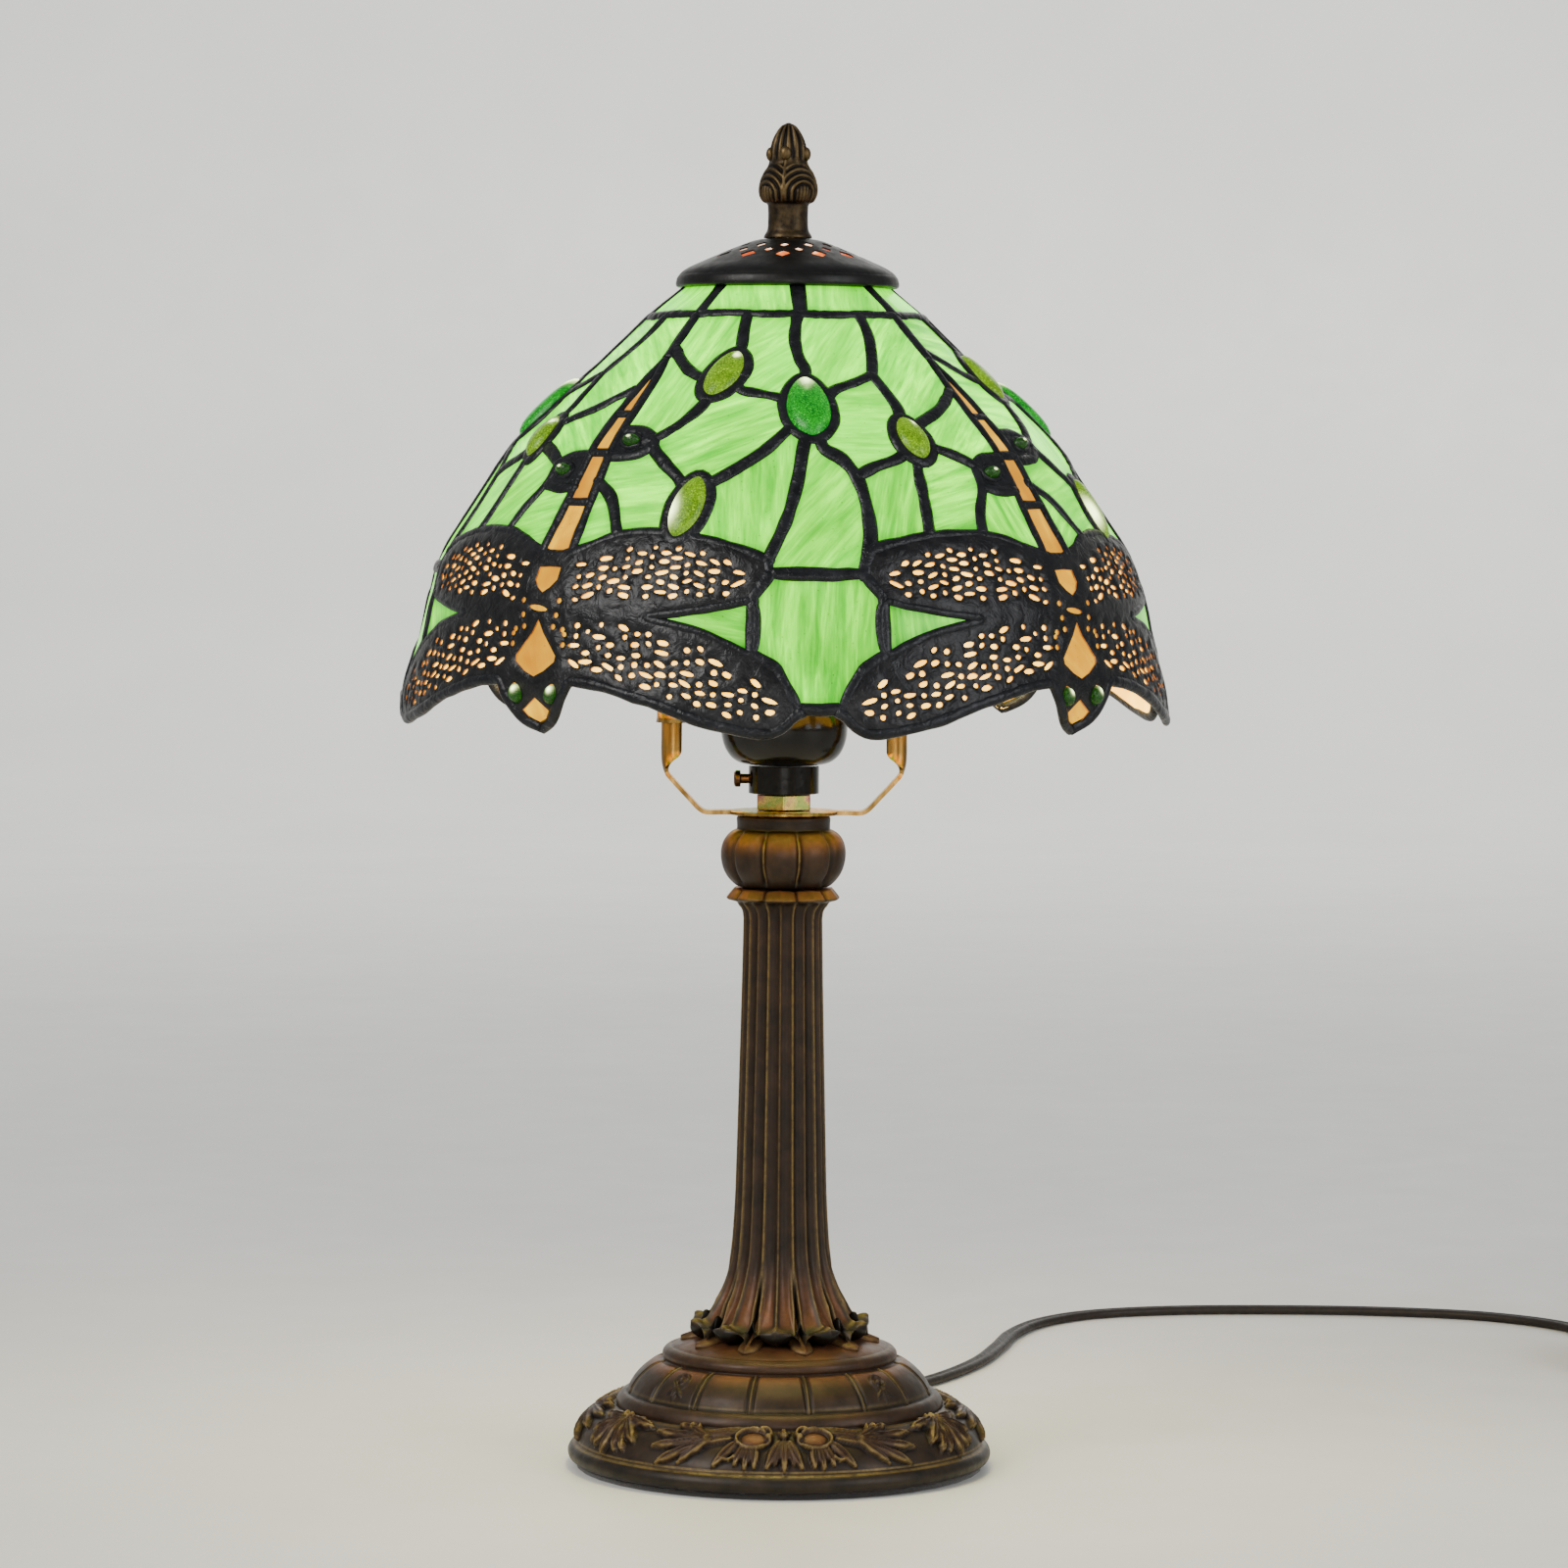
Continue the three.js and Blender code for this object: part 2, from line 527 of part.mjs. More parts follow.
add('vase_cap', vaseCap(), wingMetal);
add('crown_glass', crownGlass(), greenGlass);
['front', 'right', 'back', 'left'].forEach((side, i) => {
  const centre = SHADE_TURN + 90 * i;
  add(`field_panel_${side}`, fieldPanel(centre), greenGlass);
  add(`centre_pane_${side}`, centrePane(centre), greenGlass);
  add(`centre_jewel_${side}`, centreJewel(centre), emerald);
});
['front_right', 'back_right', 'back_left', 'front_left'].forEach((corner, i) => {
  const axis = SHADE_TURN + HALF_SECTOR + 90 * i;
  add(`dragonfly_wings_${corner}`, dragonflyWings(axis), wingMetal);
  add(`dragonfly_tail_${corner}`, dragonflyTail(axis), amberGlass);
});

// ---------------------------------------------------------------- finial
function finial() {
  const { bottom, top } = FINIAL;
  const socketTop = bottom + 9.6;
  return lathe([
    [0, socketTop], [STUD_HOLE, socketTop], [STUD_HOLE, bottom], [6.9, bottom], [6.7, 352.8], [5.8, 354],
    [5.8, 361.2], [7.6, 363], [8.2, 366], [7.2, 369.4], [5, 372.4], [6.2, 375.6], [5, 377], [4.4, 379.6],
    [2.4, 383], [0, top],
  ], 16);
}

add('finial', finial(), agedBrass);

// ---------------------------------------------------------------- supply cord
function strainRelief() {
  const length = RELIEF.outer - RELIEF.inner;
  const cone = new THREE.CylinderGeometry(RELIEF.halfWidth, RELIEF.endHalfWidth, length, 12);
  cone.scale(1, 1, RELIEF.flat).translate(0, -RELIEF.inner - length / 2, RELIEF.z);
  return cone.rotateZ(radians(CORD.exitAzimuth));
}

// From the strain relief, under the base, up through the hollow rod to the lampholder.
function innerLead() {
  const route = [
    [RELIEF.inner - GAP, RELIEF.z], [36, 4.4], [20, 4.4], [10, 4.6], [5, 5.8], [1.6, 8.6], [0.2, 12.4],
    [0, 18], [0, 110], [0, 199],
  ];
  return tube(route.map(([r, z]) => polar(r, CORD.exitAzimuth, z)), flatCordSection(), 26);
}

// The loose lead: out of the strain relief, across the table to the right, and forward to the switch.
const LEAD_ROUTE = [
  polar(RELIEF.outer + GAP, CORD.exitAzimuth, RELIEF.z),
  polar(RELIEF.outer + 10, CORD.exitAzimuth, 3.9),
  [19.6, 101, 2.8], [26.5, 112, 1.9], [35, 124, CORD.restZ],
  [44, 137, CORD.restZ], [54, 156, CORD.restZ], [64, 182, CORD.restZ], [71, 211, CORD.restZ],
  [77, 240, CORD.restZ], [87, 265, CORD.restZ], [104, 284, CORD.restZ], [130, 295, CORD.restZ],
  [165, 299, CORD.restZ],
  [205, 297, CORD.restZ], [238, 288, CORD.restZ], [261, 269, CORD.restZ], [271, 246, CORD.restZ],
  [SWITCH.x, SWITCH.y + SWITCH.length / 2 + GAP, CORD.restZ],
];

function switchShell(bottom, top, hole) {
  const [w, l] = [SWITCH.width / 2, SWITCH.length / 2];
  const corner = 6;
  const outline = [
    [w, l - corner], [w - corner, l], [corner - w, l], [-w, l - corner],
    [-w, corner - l], [corner - w, -l], [w - corner, -l], [w, corner - l],
  ];
  const body = plate(new THREE.Shape(outline.map(([x, y]) => new THREE.Vector2(x, y))), bottom, top);
  body.translate(SWITCH.x, SWITCH.y, 0);
  return hole ? cut(body, [hole.translate(SWITCH.x, SWITCH.y, top)]) : body;
}

// The rocker's side view, drawn around its pivot, with its lamp side pressed down.
function rocker() {
  const side = [[7, 1.2], [0, 2.2], [-7, 4.6], [-6.4, -1.6], [-3.4, -3.4], [3.4, -3.4], [6.4, -1.6]];
  const shape = new THREE.Shape(side.map(([y, z]) => new THREE.Vector2(y, z)));
  const width = 8.8;
  const body = new THREE.ExtrudeGeometry(shape, { depth: width, bevelEnabled: false });
  return body.rotateX(Math.PI / 2).rotateZ(Math.PI / 2)
    .translate(SWITCH.x - width / 2, SWITCH.y, SWITCH.rockerZ);
}

// A strap around the coil's section, at its right-hand side.
function cordTie() {
  const [wall, depth] = [0.6, 7];
  const [left, right] = [COIL.inner - 3 * GAP, COIL.outer + GAP];
  const [low, high] = [COIL.bottom - GAP, COIL.top + GAP];
  const box = (grow) => [
    [left - grow, low - grow], [right + grow, low - grow],
    [right + grow, high + grow], [left - grow, high + grow],
  ].map(([x, z]) => new THREE.Vector2(x, z));
  const band = new THREE.Shape(box(wall));
  band.holes.push(new THREE.Path(box(0).reverse()));
  return new THREE.ExtrudeGeometry(band, { depth, bevelEnabled: false })
    .rotateX(Math.PI / 2).translate(COIL.x, COIL.y + depth / 2, 0);
}

function plugBody() {
  const [w, length] = [PLUG.width / 2, PLUG.length];
  const half = [[3.6, 0], [w - 3, -9], [w, -13], [w, -length]];
  const outline = [...half, ...half.map(([x, y]) => [-x, y]).reverse()];
  const shape = new THREE.Shape(outline.map(([x, y]) => new THREE.Vector2(x, y)));
  return plate(shape, PLUG.z - PLUG.height / 2, PLUG.z + PLUG.height / 2).translate(PLUG.x, PLUG.top, 0);
}

function plugBlade(side, width) {
  const [thick, length] = [1.5, 16.5];
  return new THREE.BoxGeometry(thick, length, width)
    .translate(PLUG.x + side * 6.35, PLUG.top - PLUG.length - GAP - length / 2, PLUG.z);
}

const splitZ = 7.4;
const pocket = new THREE.BoxGeometry(10, 17, 13.6);
const switchEnd = SWITCH.y - SWITCH.length / 2 - GAP;
const coilEdge = 21.5; // how far from the coil's middle the straight cord meets its outside
add('strain_relief', strainRelief(), cordPlastic);
add('inner_lead', innerLead(), cordPlastic);
add('cord_lead', tube(LEAD_ROUTE, flatCordSection(), 46), cordPlastic);
add('switch_lower', switchShell(GAP, splitZ), blackPlastic);
add('switch_upper', switchShell(splitZ + GAP, SWITCH.height, pocket), blackPlastic);
add('switch_rocker', rocker(), blackPlastic);
add('cord_tail', tube([[SWITCH.x, switchEnd, CORD.restZ], [SWITCH.x, COIL.y + coilEdge, CORD.restZ]],
  flatCordSection(), 4), cordPlastic);
const coil = ring(COIL.inner, COIL.outer, COIL.bottom, COIL.top, 32);
add('cord_coil', coil.translate(COIL.x, COIL.y, 0), cordPlastic);
add('cord_tie', cordTie(), blackPlastic);
add('cord_end', tube([[PLUG.x, COIL.y - coilEdge, PLUG.z], [PLUG.x, PLUG.top + GAP, PLUG.z]],
  flatCordSection(), 2), cordPlastic);
add('plug_body', plugBody(), blackPlastic);
add('plug_blade_wide', plugBlade(-1, 7.9), brass);
add('plug_blade_narrow', plugBlade(1, 6.3), brass);

export default lamp;
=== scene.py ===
import math
import random

import bpy
import numpy as np
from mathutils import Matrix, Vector
from mathutils.geometry import delaunay_2d_cdt


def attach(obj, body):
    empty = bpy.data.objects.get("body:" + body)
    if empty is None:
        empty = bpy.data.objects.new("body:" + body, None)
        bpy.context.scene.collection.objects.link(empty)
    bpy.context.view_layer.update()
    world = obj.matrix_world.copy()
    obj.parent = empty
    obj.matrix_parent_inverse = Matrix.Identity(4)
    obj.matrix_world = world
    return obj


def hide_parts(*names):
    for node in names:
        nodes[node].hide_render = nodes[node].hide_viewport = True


# Leaded-glass table lamp. Shapes are written in millimetres and stored in metres.
# Azimuth is in degrees, 0 towards -Y (the front) and growing towards +X.

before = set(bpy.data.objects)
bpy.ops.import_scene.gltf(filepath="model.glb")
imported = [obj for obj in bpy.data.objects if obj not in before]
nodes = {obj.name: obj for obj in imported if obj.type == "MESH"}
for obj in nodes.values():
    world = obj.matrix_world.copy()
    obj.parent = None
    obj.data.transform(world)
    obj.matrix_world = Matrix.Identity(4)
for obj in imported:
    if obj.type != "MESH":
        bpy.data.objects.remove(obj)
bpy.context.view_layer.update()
scene = bpy.context.scene

MM = 0.001
TURN = 5.0            # azimuth of the front sector's middle
PETALS = 10           # on the column's foot, and lobes on the knop
PANELS = 16           # round the base
BORE = 5.3            # radius of the hole for the lamp pipe


# ---------------------------------------------------------------- camera and lights
def make_camera():
    """The photo's view; the small roll stands for the lamp's lean in it."""
    data = bpy.data.cameras.new("camera")
    data.lens, data.sensor_width = 128.9, 36
    data.clip_start, data.clip_end = 0.05, 30
    camera = bpy.data.objects.new("camera", data)
    camera.location = (-0.0006, -1.604, 0.283)
    pitch, roll = 90 - 3.1, -0.42
    camera.rotation_euler = (math.radians(pitch), math.radians(roll), 0)
    scene.collection.objects.link(camera)
    scene.camera = camera


def area_light(name, location, target, size, energy, colour):
    data = bpy.data.lights.new(name, "AREA")
    data.shape, data.size, data.size_y = "RECTANGLE", size[0], size[1]
    data.energy, data.color = energy, colour
    light = bpy.data.objects.new(name, data)
    light.location = location
    light.rotation_euler = (Vector(target) - Vector(location)).to_track_quat("-Z", "Y").to_euler()
    scene.collection.objects.link(light)


make_camera()
area_light("key", (-1.5, -1.3, 1.5), (0, 0, 0.2), (1.2, 1.2), 46, (1, 0.98, 0.95))
area_light("fill", (1.7, -1.2, 0.9), (0, 0, 0.2), (1.2, 1.4), 22, (0.96, 0.98, 1))
area_light("front", (0.1, -2.6, 0.5), (0, 0, 0.12), (1.0, 0.7), 12, (1, 0.98, 0.96))
area_light("back", (0.3, 2.5, 2.0), (0, 3.5, 0.6), (3.0, 0.8), 60, (1, 0.99, 0.98))


# ---------------------------------------------------------------- materials
class Look:
    """A material with one Principled shader, and short ways to add nodes that drive it."""

    def __init__(self, name, **sockets):
        self.material = bpy.data.materials.new(name)
        self.material.use_nodes = True
        self.tree = self.material.node_tree
        self.shader = self.tree.nodes["Principled BSDF"]
        for socket, value in sockets.items():
            self.shader.inputs[socket.replace("_", " ")].default_value = value
        self.place = self.node("ShaderNodeTexCoord").outputs["Object"]

    def node(self, kind, **settings):
        made = self.tree.nodes.new(kind)
        for key, value in settings.items():
            setattr(made, key, value)
        return made

    def link(self, source, target):
        if isinstance(source, (int, float, tuple)):
            target.default_value = source
        else:
            self.tree.links.new(source, target)

    def drive(self, socket, source):
        self.link(source, self.shader.inputs[socket])

    def glow(self, colour, strength=1.0):
        """Light given off by the surface itself."""
        self.drive("Emission Color", colour)
        self.shader.inputs["Emission Strength"].default_value = strength
        self.material.cycles.emission_sampling = "NONE"

    def attribute(self, name, output="Fac"):
        return self.node("ShaderNodeAttribute", attribute_name=name).outputs[output]

    def stretch(self, scale, vector=None):
        made = self.node("ShaderNodeMapping")
        self.link(vector or self.place, made.inputs["Vector"])
        made.inputs["Scale"].default_value = scale
        return made.outputs["Vector"]

    def noise(self, scale, detail=4.0, rough=0.55, vector=None, distortion=0.0):
        made = self.node("ShaderNodeTexNoise")
        self.link(vector or self.place, made.inputs["Vector"])
        for key, value in (("Scale", scale), ("Detail", detail), ("Roughness", rough),
                           ("Distortion", distortion)):
            made.inputs[key].default_value = value
        return made.outputs["Fac"]

    def cells(self, scale, feature="F1", output="Distance", vector=None):
        made = self.node("ShaderNodeTexVoronoi", feature=feature)
        self.link(vector or self.place, made.inputs["Vector"])
        made.inputs["Scale"].default_value = scale
        return made.outputs[output]

    def ramp(self, source, *stops):
        """A colour ramp; each stop is (position, colour) or (position, grey)."""
        made = self.node("ShaderNodeValToRGB")
        self.link(source, made.inputs["Fac"])
        band = made.color_ramp
        while len(band.elements) < len(stops):
            band.elements.new(0.5)
        for element, (position, colour) in zip(band.elements, stops):
            element.position = position
            if isinstance(colour, (int, float)):
                colour = (colour,) * 3
            element.color = (*colour, 1)
        return made.outputs["Color"]

    def mix(self, share, first, second, blend="MIX"):
        made = self.node("ShaderNodeMix", data_type="RGBA", blend_type=blend)
        self.link(share, made.inputs[0])
        for source, socket in ((first, made.inputs[6]), (second, made.inputs[7])):
            if isinstance(source, tuple):
                source = (*source, 1)
            self.link(source, socket)
        return made.outputs[2]

    def math(self, operation, first, second=0.0, clamp=False):
        made = self.node("ShaderNodeMath", operation=operation, use_clamp=clamp)
        self.link(first, made.inputs[0])
        self.link(second, made.inputs[1])
        return made.outputs[0]

    def bump(self, height, distance, strength=1.0, normal=None):
        made = self.node("ShaderNodeBump")
        made.inputs["Distance"].default_value = distance
        made.inputs["Strength"].default_value = strength
        self.link(height, made.inputs["Height"])
        if normal is not None:
            self.link(normal, made.inputs["Normal"])
        return made.outputs["Normal"]


def srgb(r, g, b):
    def linear(c):
        c /= 255
        return c / 12.92 if c <= 0.04045 else ((c + 0.055) / 1.055) ** 2.4
    return linear(r), linear(g), linear(b)


def bronze_look():
    """Near-black brown resin, brushed with gold on its ridges and copper on its rounds, the copper partly a
    copper finish and partly painted warm light on their tops; painted shade darkens its hollows.
    """
    look = Look("bronze_resin", Metallic=0.35, Specular_IOR_Level=0.3)
    patch = look.noise(160, 5, 0.6)
    fine = look.noise(900, 3, 0.6)
    dark = look.mix(look.ramp(patch, (0.35, 0), (0.7, 1)), srgb(25, 21, 17), srgb(45, 36, 27))
    copper = look.mix(fine, srgb(84, 50, 28), srgb(124, 78, 46))
    gold = look.mix(fine, srgb(86, 72, 40), srgb(146, 122, 70))
    # copper is partly a copper finish and partly painted warm light on the tops of the relief.
    copper_share = look.math("MULTIPLY", look.attribute("copper"),
                             look.ramp(patch, (0.25, 0.4), (0.65, 1)), clamp=True)
    finish_and_light = look.mix(copper_share, dark, copper)
    gold_share = look.math("MULTIPLY", look.attribute("gold"),
                           look.ramp(look.noise(420, 4, 0.7), (0.3, 0.3), (0.55, 1)), clamp=True)
    finish_and_light = look.mix(gold_share, finish_and_light, gold)
    # Painted shade: the colour is multiplied darker where hollow is high.
    shade = look.ramp(look.attribute("hollow"), (0, (1, 1, 1)), (1, (0.16, 0.15, 0.15)))
    look.drive("Base Color", look.mix(1.0, finish_and_light, shade, "MULTIPLY"))
    look.drive("Roughness", look.ramp(look.noise(300, 4, 0.6), (0.3, 0.36), (0.75, 0.54)))
    look.drive("Normal", look.bump(look.noise(1400, 3, 0.6), 0.00006, 0.5,
                                   look.bump(patch, 0.0003, 0.35)))
    return look.material


def metal_look(name, light, dark, rough=(0.18, 0.38), grain=(1, 1, 1), metallic=1.0, scale=260):
    look = Look(name, Metallic=metallic)
    drift = look.noise(scale, 5, 0.62, look.stretch(grain))
    look.drive("Base Color", look.mix(look.ramp(drift, (0.35, 0), (0.68, 1)), dark, light))
    look.drive("Roughness", look.ramp(look.noise(scale * 2.2, 4, 0.6, look.stretch(grain)),
                                      (0.3, rough[0]), (0.72, rough[1])))
    look.drive("Normal", look.bump(drift, 0.00005, 0.6))
    return look.material


def nut_look():
    """Yellow zinc plate, with its pink and green tints."""
    look = Look("yellow_zinc", Metallic=1.0)
    tint = look.ramp(look.noise(150, 3, 0.5, distortion=1.2), (0.3, srgb(176, 120, 110)),
                     (0.45, srgb(206, 176, 98)), (0.58, srgb(150, 170, 84)), (0.72, srgb(190, 150, 90)))
    look.drive("Base Color", tint)
    look.drive("Roughness", look.ramp(look.noise(700, 3, 0.5), (0.3, 0.2), (0.7, 0.36)))
    look.drive("Normal", look.bump(look.noise(900, 3, 0.6), 0.00004, 0.5))
    return look.material


def plastic_look(name, colour, rough=(0.08, 0.2), coat=0.4, bump=0.00003, scale=500):
    look = Look(name, Coat_Weight=coat, Coat_Roughness=0.06, Specular_IOR_Level=0.28)
    drift = look.noise(scale, 4, 0.6)
    lighter = tuple(min(1, c * 1.7 + 0.004) for c in colour)
    look.drive("Base Color", look.mix(look.ramp(drift, (0.4, 0), (0.8, 0.6)), colour, lighter))
    look.drive("Roughness", look.ramp(look.noise(scale * 1.7, 3, 0.6), (0.3, rough[0]), (0.7, rough[1])))
    look.drive("Normal", look.bump(drift, bump, 0.5))
    return look.material


def patina_look(name="dark_patina", base=(40, 39, 40), light=(78, 76, 76), rough=(0.26, 0.46), ripple=1.0):
    """Blackened solder and spun brass, with a soft sheen and rubbed spots."""
    look = Look(name, Metallic=0.3, Specular_IOR_Level=0.34)
    blotch = look.noise(190, 5, 0.65)
    look.drive("Base Color", look.mix(look.ramp(blotch, (0.42, 0), (0.8, 1)), srgb(*base), srgb(*light)))
    look.drive("Roughness", look.ramp(look.noise(430, 4, 0.6), (0.3, rough[0]), (0.7, rough[1])))
    look.drive("Normal", look.bump(look.noise(950, 3, 0.6), 0.0001, 0.3,
                                   look.bump(look.noise(260, 3, 0.55, distortion=0.8), 0.0012, 0.5 * ripple)))
    return look.material


def glass_look(name, deep, mid, light, glow, rim, streaks=True):
    """Opalescent sheet glass lit from behind: streaks, seeds, and a painted shadow of the solder that darkens
    its edges.

    deep, mid and light are linear light values; glow is the colour of its surface unlit, and rim the share of
    light that is left at a pane's edge."""
    look = Look(name, Specular_IOR_Level=0.22, Coat_Weight=0.1, Coat_Roughness=0.08)
    flow = look.attribute("flow", "Vector")
    long_grain = look.noise(1.0, 6, 0.62, look.stretch((0.032, 0.2, 0.2), flow), 0.9)
    fine_grain = look.noise(1.0, 5, 0.6, look.stretch((0.07, 0.75, 0.5), flow), 0.6)
    cloud = look.noise(1.0, 3, 0.5, look.stretch((0.05, 0.05, 0.05), flow))
    grain = look.math("ADD", look.math("MULTIPLY", long_grain, 0.6), look.math("MULTIPLY", fine_grain, 0.4))
    if not streaks:
        grain = look.math("ADD", look.math("MULTIPLY", long_grain, 0.35), look.math("MULTIPLY", cloud, 0.65))
    colour = look.ramp(grain, (0.38, deep), (0.5, mid), (0.64, light))
    colour = look.mix(look.math("MULTIPLY", look.attribute("tint"), 0.4), colour, mid if streaks else deep)
    seeds = look.cells(1.0, vector=look.stretch((0.42, 0.42, 0.42), flow))
    specks = look.ramp(seeds, (0.05, 0.5), (0.12, 1.0))
    colour = look.mix(1.0, colour, specks, "MULTIPLY")
    # Painted solder shadow: the light dims towards each pane's edge.
    edge = look.ramp(look.attribute("edge"), (0.0, rim), (0.35, tuple(0.5 + 0.5 * c for c in rim)),
                     (0.8, (1, 1, 1)))
    lit = look.mix(1.0, colour, edge, "MULTIPLY")
    lit = look.mix(1.0, lit, look.ramp(cloud, (0.3, 0.78), (0.65, 1.1)), "MULTIPLY")
    look.drive("Base Color", look.mix(grain, tuple(0.6 * c for c in glow), tuple(1.3 * c for c in glow)))
    look.glow(look.mix(1.0, lit, look.attribute("power"), "MULTIPLY"))
    look.drive("Roughness", look.ramp(fine_grain, (0.3, 0.16), (0.7, 0.34)))
    look.drive("Normal", look.bump(look.noise(1.0, 4, 0.6, look.stretch((0.25, 0.9, 0.9), flow)),
                                   0.00035, 0.4))
    return look.material


def jewel_look(name, deep, bright, spark):
    """Pressed glass with a crackled back that sparkles, and a painted glint: a brighter side where the bulb
    shows.

    The colours are linear light values."""
    look = Look(name, Coat_Weight=0.08, Coat_Roughness=0.03, Specular_IOR_Level=0.25)
    crackle = look.cells(1500, "DISTANCE_TO_EDGE")
    grit = look.noise(1900, 4, 0.75)
    patch = look.noise(260, 3, 0.6)
    facets = look.math("MULTIPLY", look.ramp(crackle, (0.02, 1.0), (0.3, 0.25)),
                       look.ramp(grit, (0.4, 0.1), (0.6, 1.0)))
    facets = look.math("ADD", facets, look.ramp(patch, (0.35, 0.0), (0.7, 0.45)), clamp=True)
    colour = look.mix(facets, deep, bright)
    colour = look.mix(look.ramp(grit, (0.6, 0), (0.7, 0.9)), colour, spark)
    # Painted glint of the bulb seen through the jewel.
    colour = look.mix(look.attribute("hot"), colour, (5.0, 6.0, 2.4))
    look.drive("Base Color", look.mix(facets, tuple(0.5 * c for c in deep), deep))
    look.glow(colour)
    look.drive("Normal", look.bump(grit, 0.0003, 0.4))
    look.drive("Roughness", look.ramp(grit, (0.3, 0.05), (0.7, 0.2)))
    return look.material


def lit_look(name, drift, stops, base, bump, grain=None, rough=0.4, metallic=0.0):
    """A lit surface whose light drifts: stops are its light's colours, base the two it has unlit.

    drift is the scale and detail of the noise behind it, and grain the scale of another for the bump."""
    look = Look(name, Roughness=rough, Metallic=metallic)
    slow = look.noise(*drift, 0.6)
    look.drive("Base Color", look.mix(slow, *base))
    look.glow(look.ramp(slow, *stops))
    look.drive("Normal", look.bump(look.noise(grain, 3, 0.6) if grain else slow, bump, 0.4))
    return look.material


def felt_look():
    look = Look("felt", Roughness=1.0, Sheen_Weight=0.4)
    fuzz = look.noise(1600, 5, 0.7)
    look.drive("Base Color", look.mix(fuzz, srgb(14, 13, 13), srgb(48, 44, 42)))
    look.drive("Normal", look.bump(fuzz, 0.0004, 0.9))
    return look.material


def bulb_look():
    look = Look("frosted_bulb", Roughness=0.3)
    drift = look.noise(60, 3, 0.5)
    colour = look.ramp(drift, (0.3, srgb(255, 214, 150)), (0.7, srgb(255, 238, 206)))
    look.drive("Base Color", colour)
    look.glow(colour, 5.0)
    look.drive("Normal", look.bump(look.noise(1200, 3, 0.6), 0.00003, 0.4))
    return look.material


BRONZE = bronze_look()
BRASS = metal_look("brass", srgb(178, 142, 78), srgb(92, 68, 34), (0.2, 0.42), (1, 1, 0.12))
DARK_BRASS = metal_look("dark_brass", srgb(110, 78, 50), srgb(46, 32, 24), (0.2, 0.4))
STEEL = metal_look("zinc_steel", srgb(176, 168, 150), srgb(110, 104, 96))
IRON = metal_look("cast_iron", srgb(78, 78, 80), srgb(44, 44, 46), (0.6, 0.85), metallic=0.7, scale=700)
NUT = nut_look()
BAKELITE = plastic_look("black_phenolic", srgb(9, 8, 7), (0.1, 0.2), coat=0.0)
SWITCH_BLACK = plastic_look("switch_plastic", srgb(30, 26, 24), (0.3, 0.5), 0.1)
VINYL = plastic_look("cord_vinyl", srgb(30, 24, 20), (0.42, 0.6), 0.0, 0.00008, 350)
TIE = plastic_look("cord_tie", srgb(22, 22, 24), (0.5, 0.7), 0.0)
PORCELAIN = plastic_look("porcelain", srgb(222, 216, 204), (0.15, 0.3), 0.5)
PATINA = patina_look(base=(15, 16, 19), light=(38, 39, 43))
CAP_PATINA = patina_look("cap_patina", (14, 13, 12), (28, 26, 23), (0.34, 0.46), 0.2)
WING = patina_look("wing_filigree", (17, 17, 19), (42, 41, 42), (0.28, 0.46))
# Cut edges of the piercings, where warm light grazes the metal.
RIM = lit_look("pierced_edge", (420, 3), ((0.35, (0.3, 0.07, 0.005)), (0.65, (0.8, 0.26, 0.03))),
               (srgb(70, 44, 26), srgb(110, 70, 40)), 0.00005, rough=0.5, metallic=0.5)
GREEN = glass_look("green_glass", (0.1, 1.15, 0.0), (0.34, 1.95, 0.0), (0.85, 3.5, 0.0), srgb(14, 50, 8),
                   (0.15, 0.34, 0.12))
AMBER = glass_look("amber_glass", (1.25, 0.5, 0.0), (1.45, 0.7, 0.0), (2.2, 1.3, 0.0), srgb(70, 32, 4),
                   (0.8, 0.4, 0.2), False)
# The lit glass that shows through the pierced wings, and a painted glow for the bulb-lit inside of the cap,
# which shows through its vents.
CREAM = lit_look("cream_glass", (70, 4), ((0.3, (3.6, 1.6, 0.05)), (0.5, (4.8, 2.5, 0.14)),
                                          (0.7, (5.6, 3.3, 0.45))),
                 (srgb(150, 110, 60), srgb(120, 90, 60)), 0.0001, grain=500)
VENT_GLOW = lit_look("painted_vent_glow", (90, 4), ((0.4, (1.3, 0.13, 0.01)), (0.52, (2.2, 0.5, 0.06)),
                                        (0.62, (4.0, 2.6, 1.6))),
                 (srgb(110, 54, 26), srgb(140, 80, 44)), 0.0002, metallic=0.4)
EMERALD = jewel_look("emerald_glass", (0.0, 0.06, 0.004), (0.0, 0.5, 0.012), (0.2, 2.0, 0.1))
OLIVE = jewel_look("olive_jewel", (0.03, 0.09, 0.0), (0.26, 0.5, 0.005), (1.2, 1.9, 0.05))
MOSS = jewel_look("moss_jewel", (0.002, 0.012, 0.001), (0.015, 0.1, 0.004), (0.08, 0.34, 0.02))
FELT = felt_look()
BULB = bulb_look()


# ---------------------------------------------------------------- mesh helpers
def new_piece(name, verts, faces, material, body, smooth=True):
    mesh = bpy.data.meshes.new(name)
    mesh.from_pydata([tuple(float(c) * MM for c in v) for v in verts], [], faces)
    mesh.materials.append(material)
    mesh.polygons.foreach_set("use_smooth", [smooth] * len(mesh.polygons))
    mesh.update()
    piece = bpy.data.objects.new(name, mesh)
    scene.collection.objects.link(piece)
    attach(piece, body)
    return piece


def paint(piece, name, values, domain="POINT"):
    layer = piece.data.attributes.new(name, "FLOAT", domain)
    layer.data.foreach_set("value", np.asarray(values, np.float32).ravel())


def sharpen(piece, degrees=40):
    piece.data.set_sharp_from_angle(angle=math.radians(degrees))


